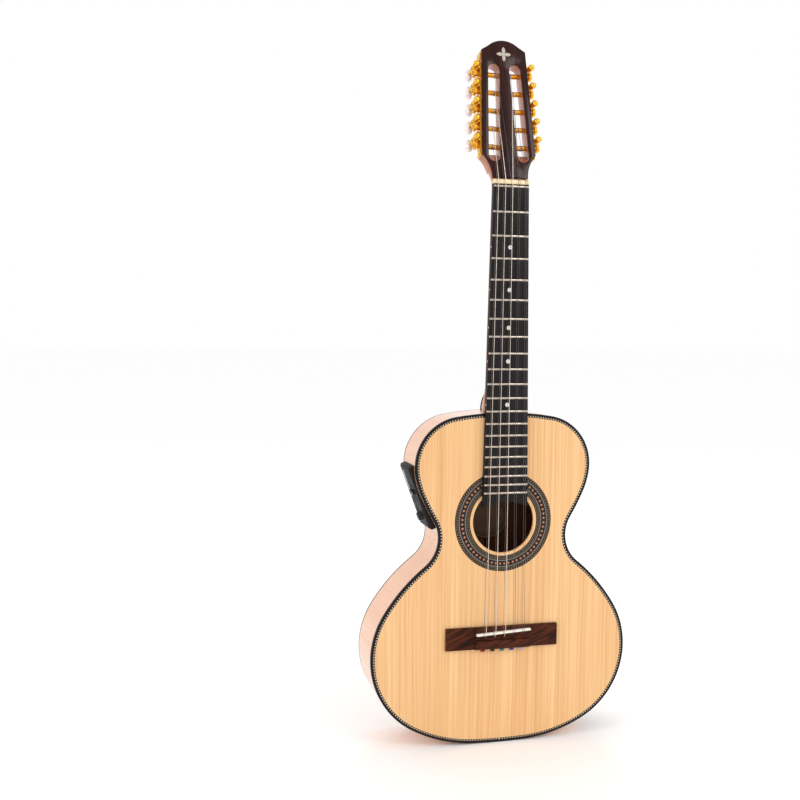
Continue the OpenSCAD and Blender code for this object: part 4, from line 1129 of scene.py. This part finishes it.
def make_preamp():
    eased("preamp_face", "preamp_panel", [PANEL], 0.5)
    window = Stock(PANEL_PLACE)
    window.block((0.12, 43.52, 42), (0.7, 49.44, 80))
    window.make("preamp_window", [WINDOW],
                stands_for=["preamp_display"], ease=0.1)
    trim = Stock(PANEL_PLACE)
    for y in SLIDER_YS:
        for n in range(5):
            z = SLIDER_Z + (n - 2) * 5
            for side in (-1, 1):
                length = 1.5 if n == 2 else 0.9
                trim.block((-0.03, y + side * 1.7, z - 0.15),
                           (0.4, y + side * (1.7 + length), z + 0.15), 0)
    for n in range(11):
        a = radians(-140 + 28 * n)
        place = DIAL @ spin(a, "X")
        trim.block((-0.03, -0.14, 7.0), (0.4, 0.14, 8.1 if n % 5 else 8.7), 0, place)
    lamp = shift(0, 44.5, 30) @ spin(-pi / 2, "Y")
    trim.turned([(0.01, -0.4), (1.2, -0.4), (1.2, 0.1), (0.8, 0.4), (0.01, 0.5)], 1, lamp, 24)
    button = shift(0, 44.5, 22) @ spin(-pi / 2, "Y")
    trim.turned([(0.01, -0.4), (1.9, -0.4), (1.9, 0.4), (1.6, 0.7), (0.01, 0.7)], 2, button, 28)
    trim.make("preamp_marks", [PANEL_MARK, LAMP, PANEL_KNOB])
    for i, y in enumerate(SLIDER_YS, 1):
        eased(f"slider_cap_{i}", f"preamp_slider_{i}", [PANEL_KNOB], 0.18,
              body=f"preamp_slider_{i}")
        line = Stock(PANEL_PLACE)
        line.block((-3.22, y - 1.7, SLIDER_Z - 0.15), (-3.0, y + 1.7, SLIDER_Z + 0.15))
        line.make(f"slider_line_{i}", [PANEL_MARK], f"preamp_slider_{i}")
    knob = Stock(PANEL_PLACE @ DIAL @ spin(-pi / 2, "Y"))
    rings = []
    for z, r, grip in ((0.3, 5.7, 0), (0.6, 6.0, 0), (1.0, 6.0, 0.28), (4.6, 5.7, 0.28),
                       (5.4, 5.4, 0), (5.8, 4.9, 0), (5.8, 0.05, 0)):
        rings.append([((r - grip * (n % 2)) * cos(a), (r - grip * (n % 2)) * sin(a), z)
                      for n, a in enumerate(around(72))])
    knob.loft(rings)
    knob.turned([(0.01, -5.9), (3.0, -5.9), (3.0, 0.4), (0.01, 0.4)])
    knob.block((-0.3, 1.2, 5.6), (0.3, 5.0, 5.83), 1)
    knob.make("volume_knob", [PANEL_KNOB, PANEL_MARK], "preamp_knob",
              ["preamp_knob"], smooth=30)


def make_jack():
    eased("jack_plate_cover", "jack_plate", [PANEL], 0.4)
    eased("battery_door_cover", "battery_door", [PANEL], 0.4, body="battery_door")
    socket = Stock(ROW @ on_corner(-34, 41, 0))
    out = 3
    socket.turned([(3.2, -22), (5.5, -22), (5.5, out + 3.4), (5.2, out + 3.9), (4.0, out + 4.0),
                   (3.2, out + 3.6), (3.2, -22)], 0, steps=40)
    nut = [(7.5, pi / 3 * n) for n in range(6)]
    rings = [[(r * s * cos(a), r * s * sin(a), out + z) for r, a in nut]
             for z, s in ((0.05, 1), (1.8, 1), (2.25, 0.93))]
    rings.append([(5.3 * cos(a), 5.3 * sin(a), out + 2.25) for r, a in nut])
    socket.loft(rings)
    socket.make("jack_barrel", [JACK_STEEL], stands_for=["jack_socket"],
                smooth=30)


def paint_frame():
    """Finishes for the CAD nodes whose own shape shows."""
    finishes = {"soundboard": SPRUCE, "back_bass": MAPLE_BACK, "back_treble": MAPLE_BACK,
        "back_strip": BINDING, "rib_bass": MAPLE_RIB, "rib_treble": MAPLE_RIB,
        "braces": SPRUCE_SHADED_INSIDE, "linings": CEDAR_SHADED_INSIDE, "end_blocks": CEDAR_SHADED_INSIDE,
        "truss_rod": ROD_STEEL, "battery": CELL}
    for name, finish in finishes.items():
        mesh = NODES[name].data
        mesh.materials.clear()
        mesh.materials.append(finish)


set_camera()
set_studio()
paint_frame()
make_bindings()
make_rope()
make_rosette()
make_label()
make_bridge()
make_strings()
make_fingerboard()
make_nut()
make_neck()
make_head()
make_tuner_plates()
for side, k in TUNERS:
    make_worm(side, k)
    make_roller(side, k)
make_preamp()
make_jack()
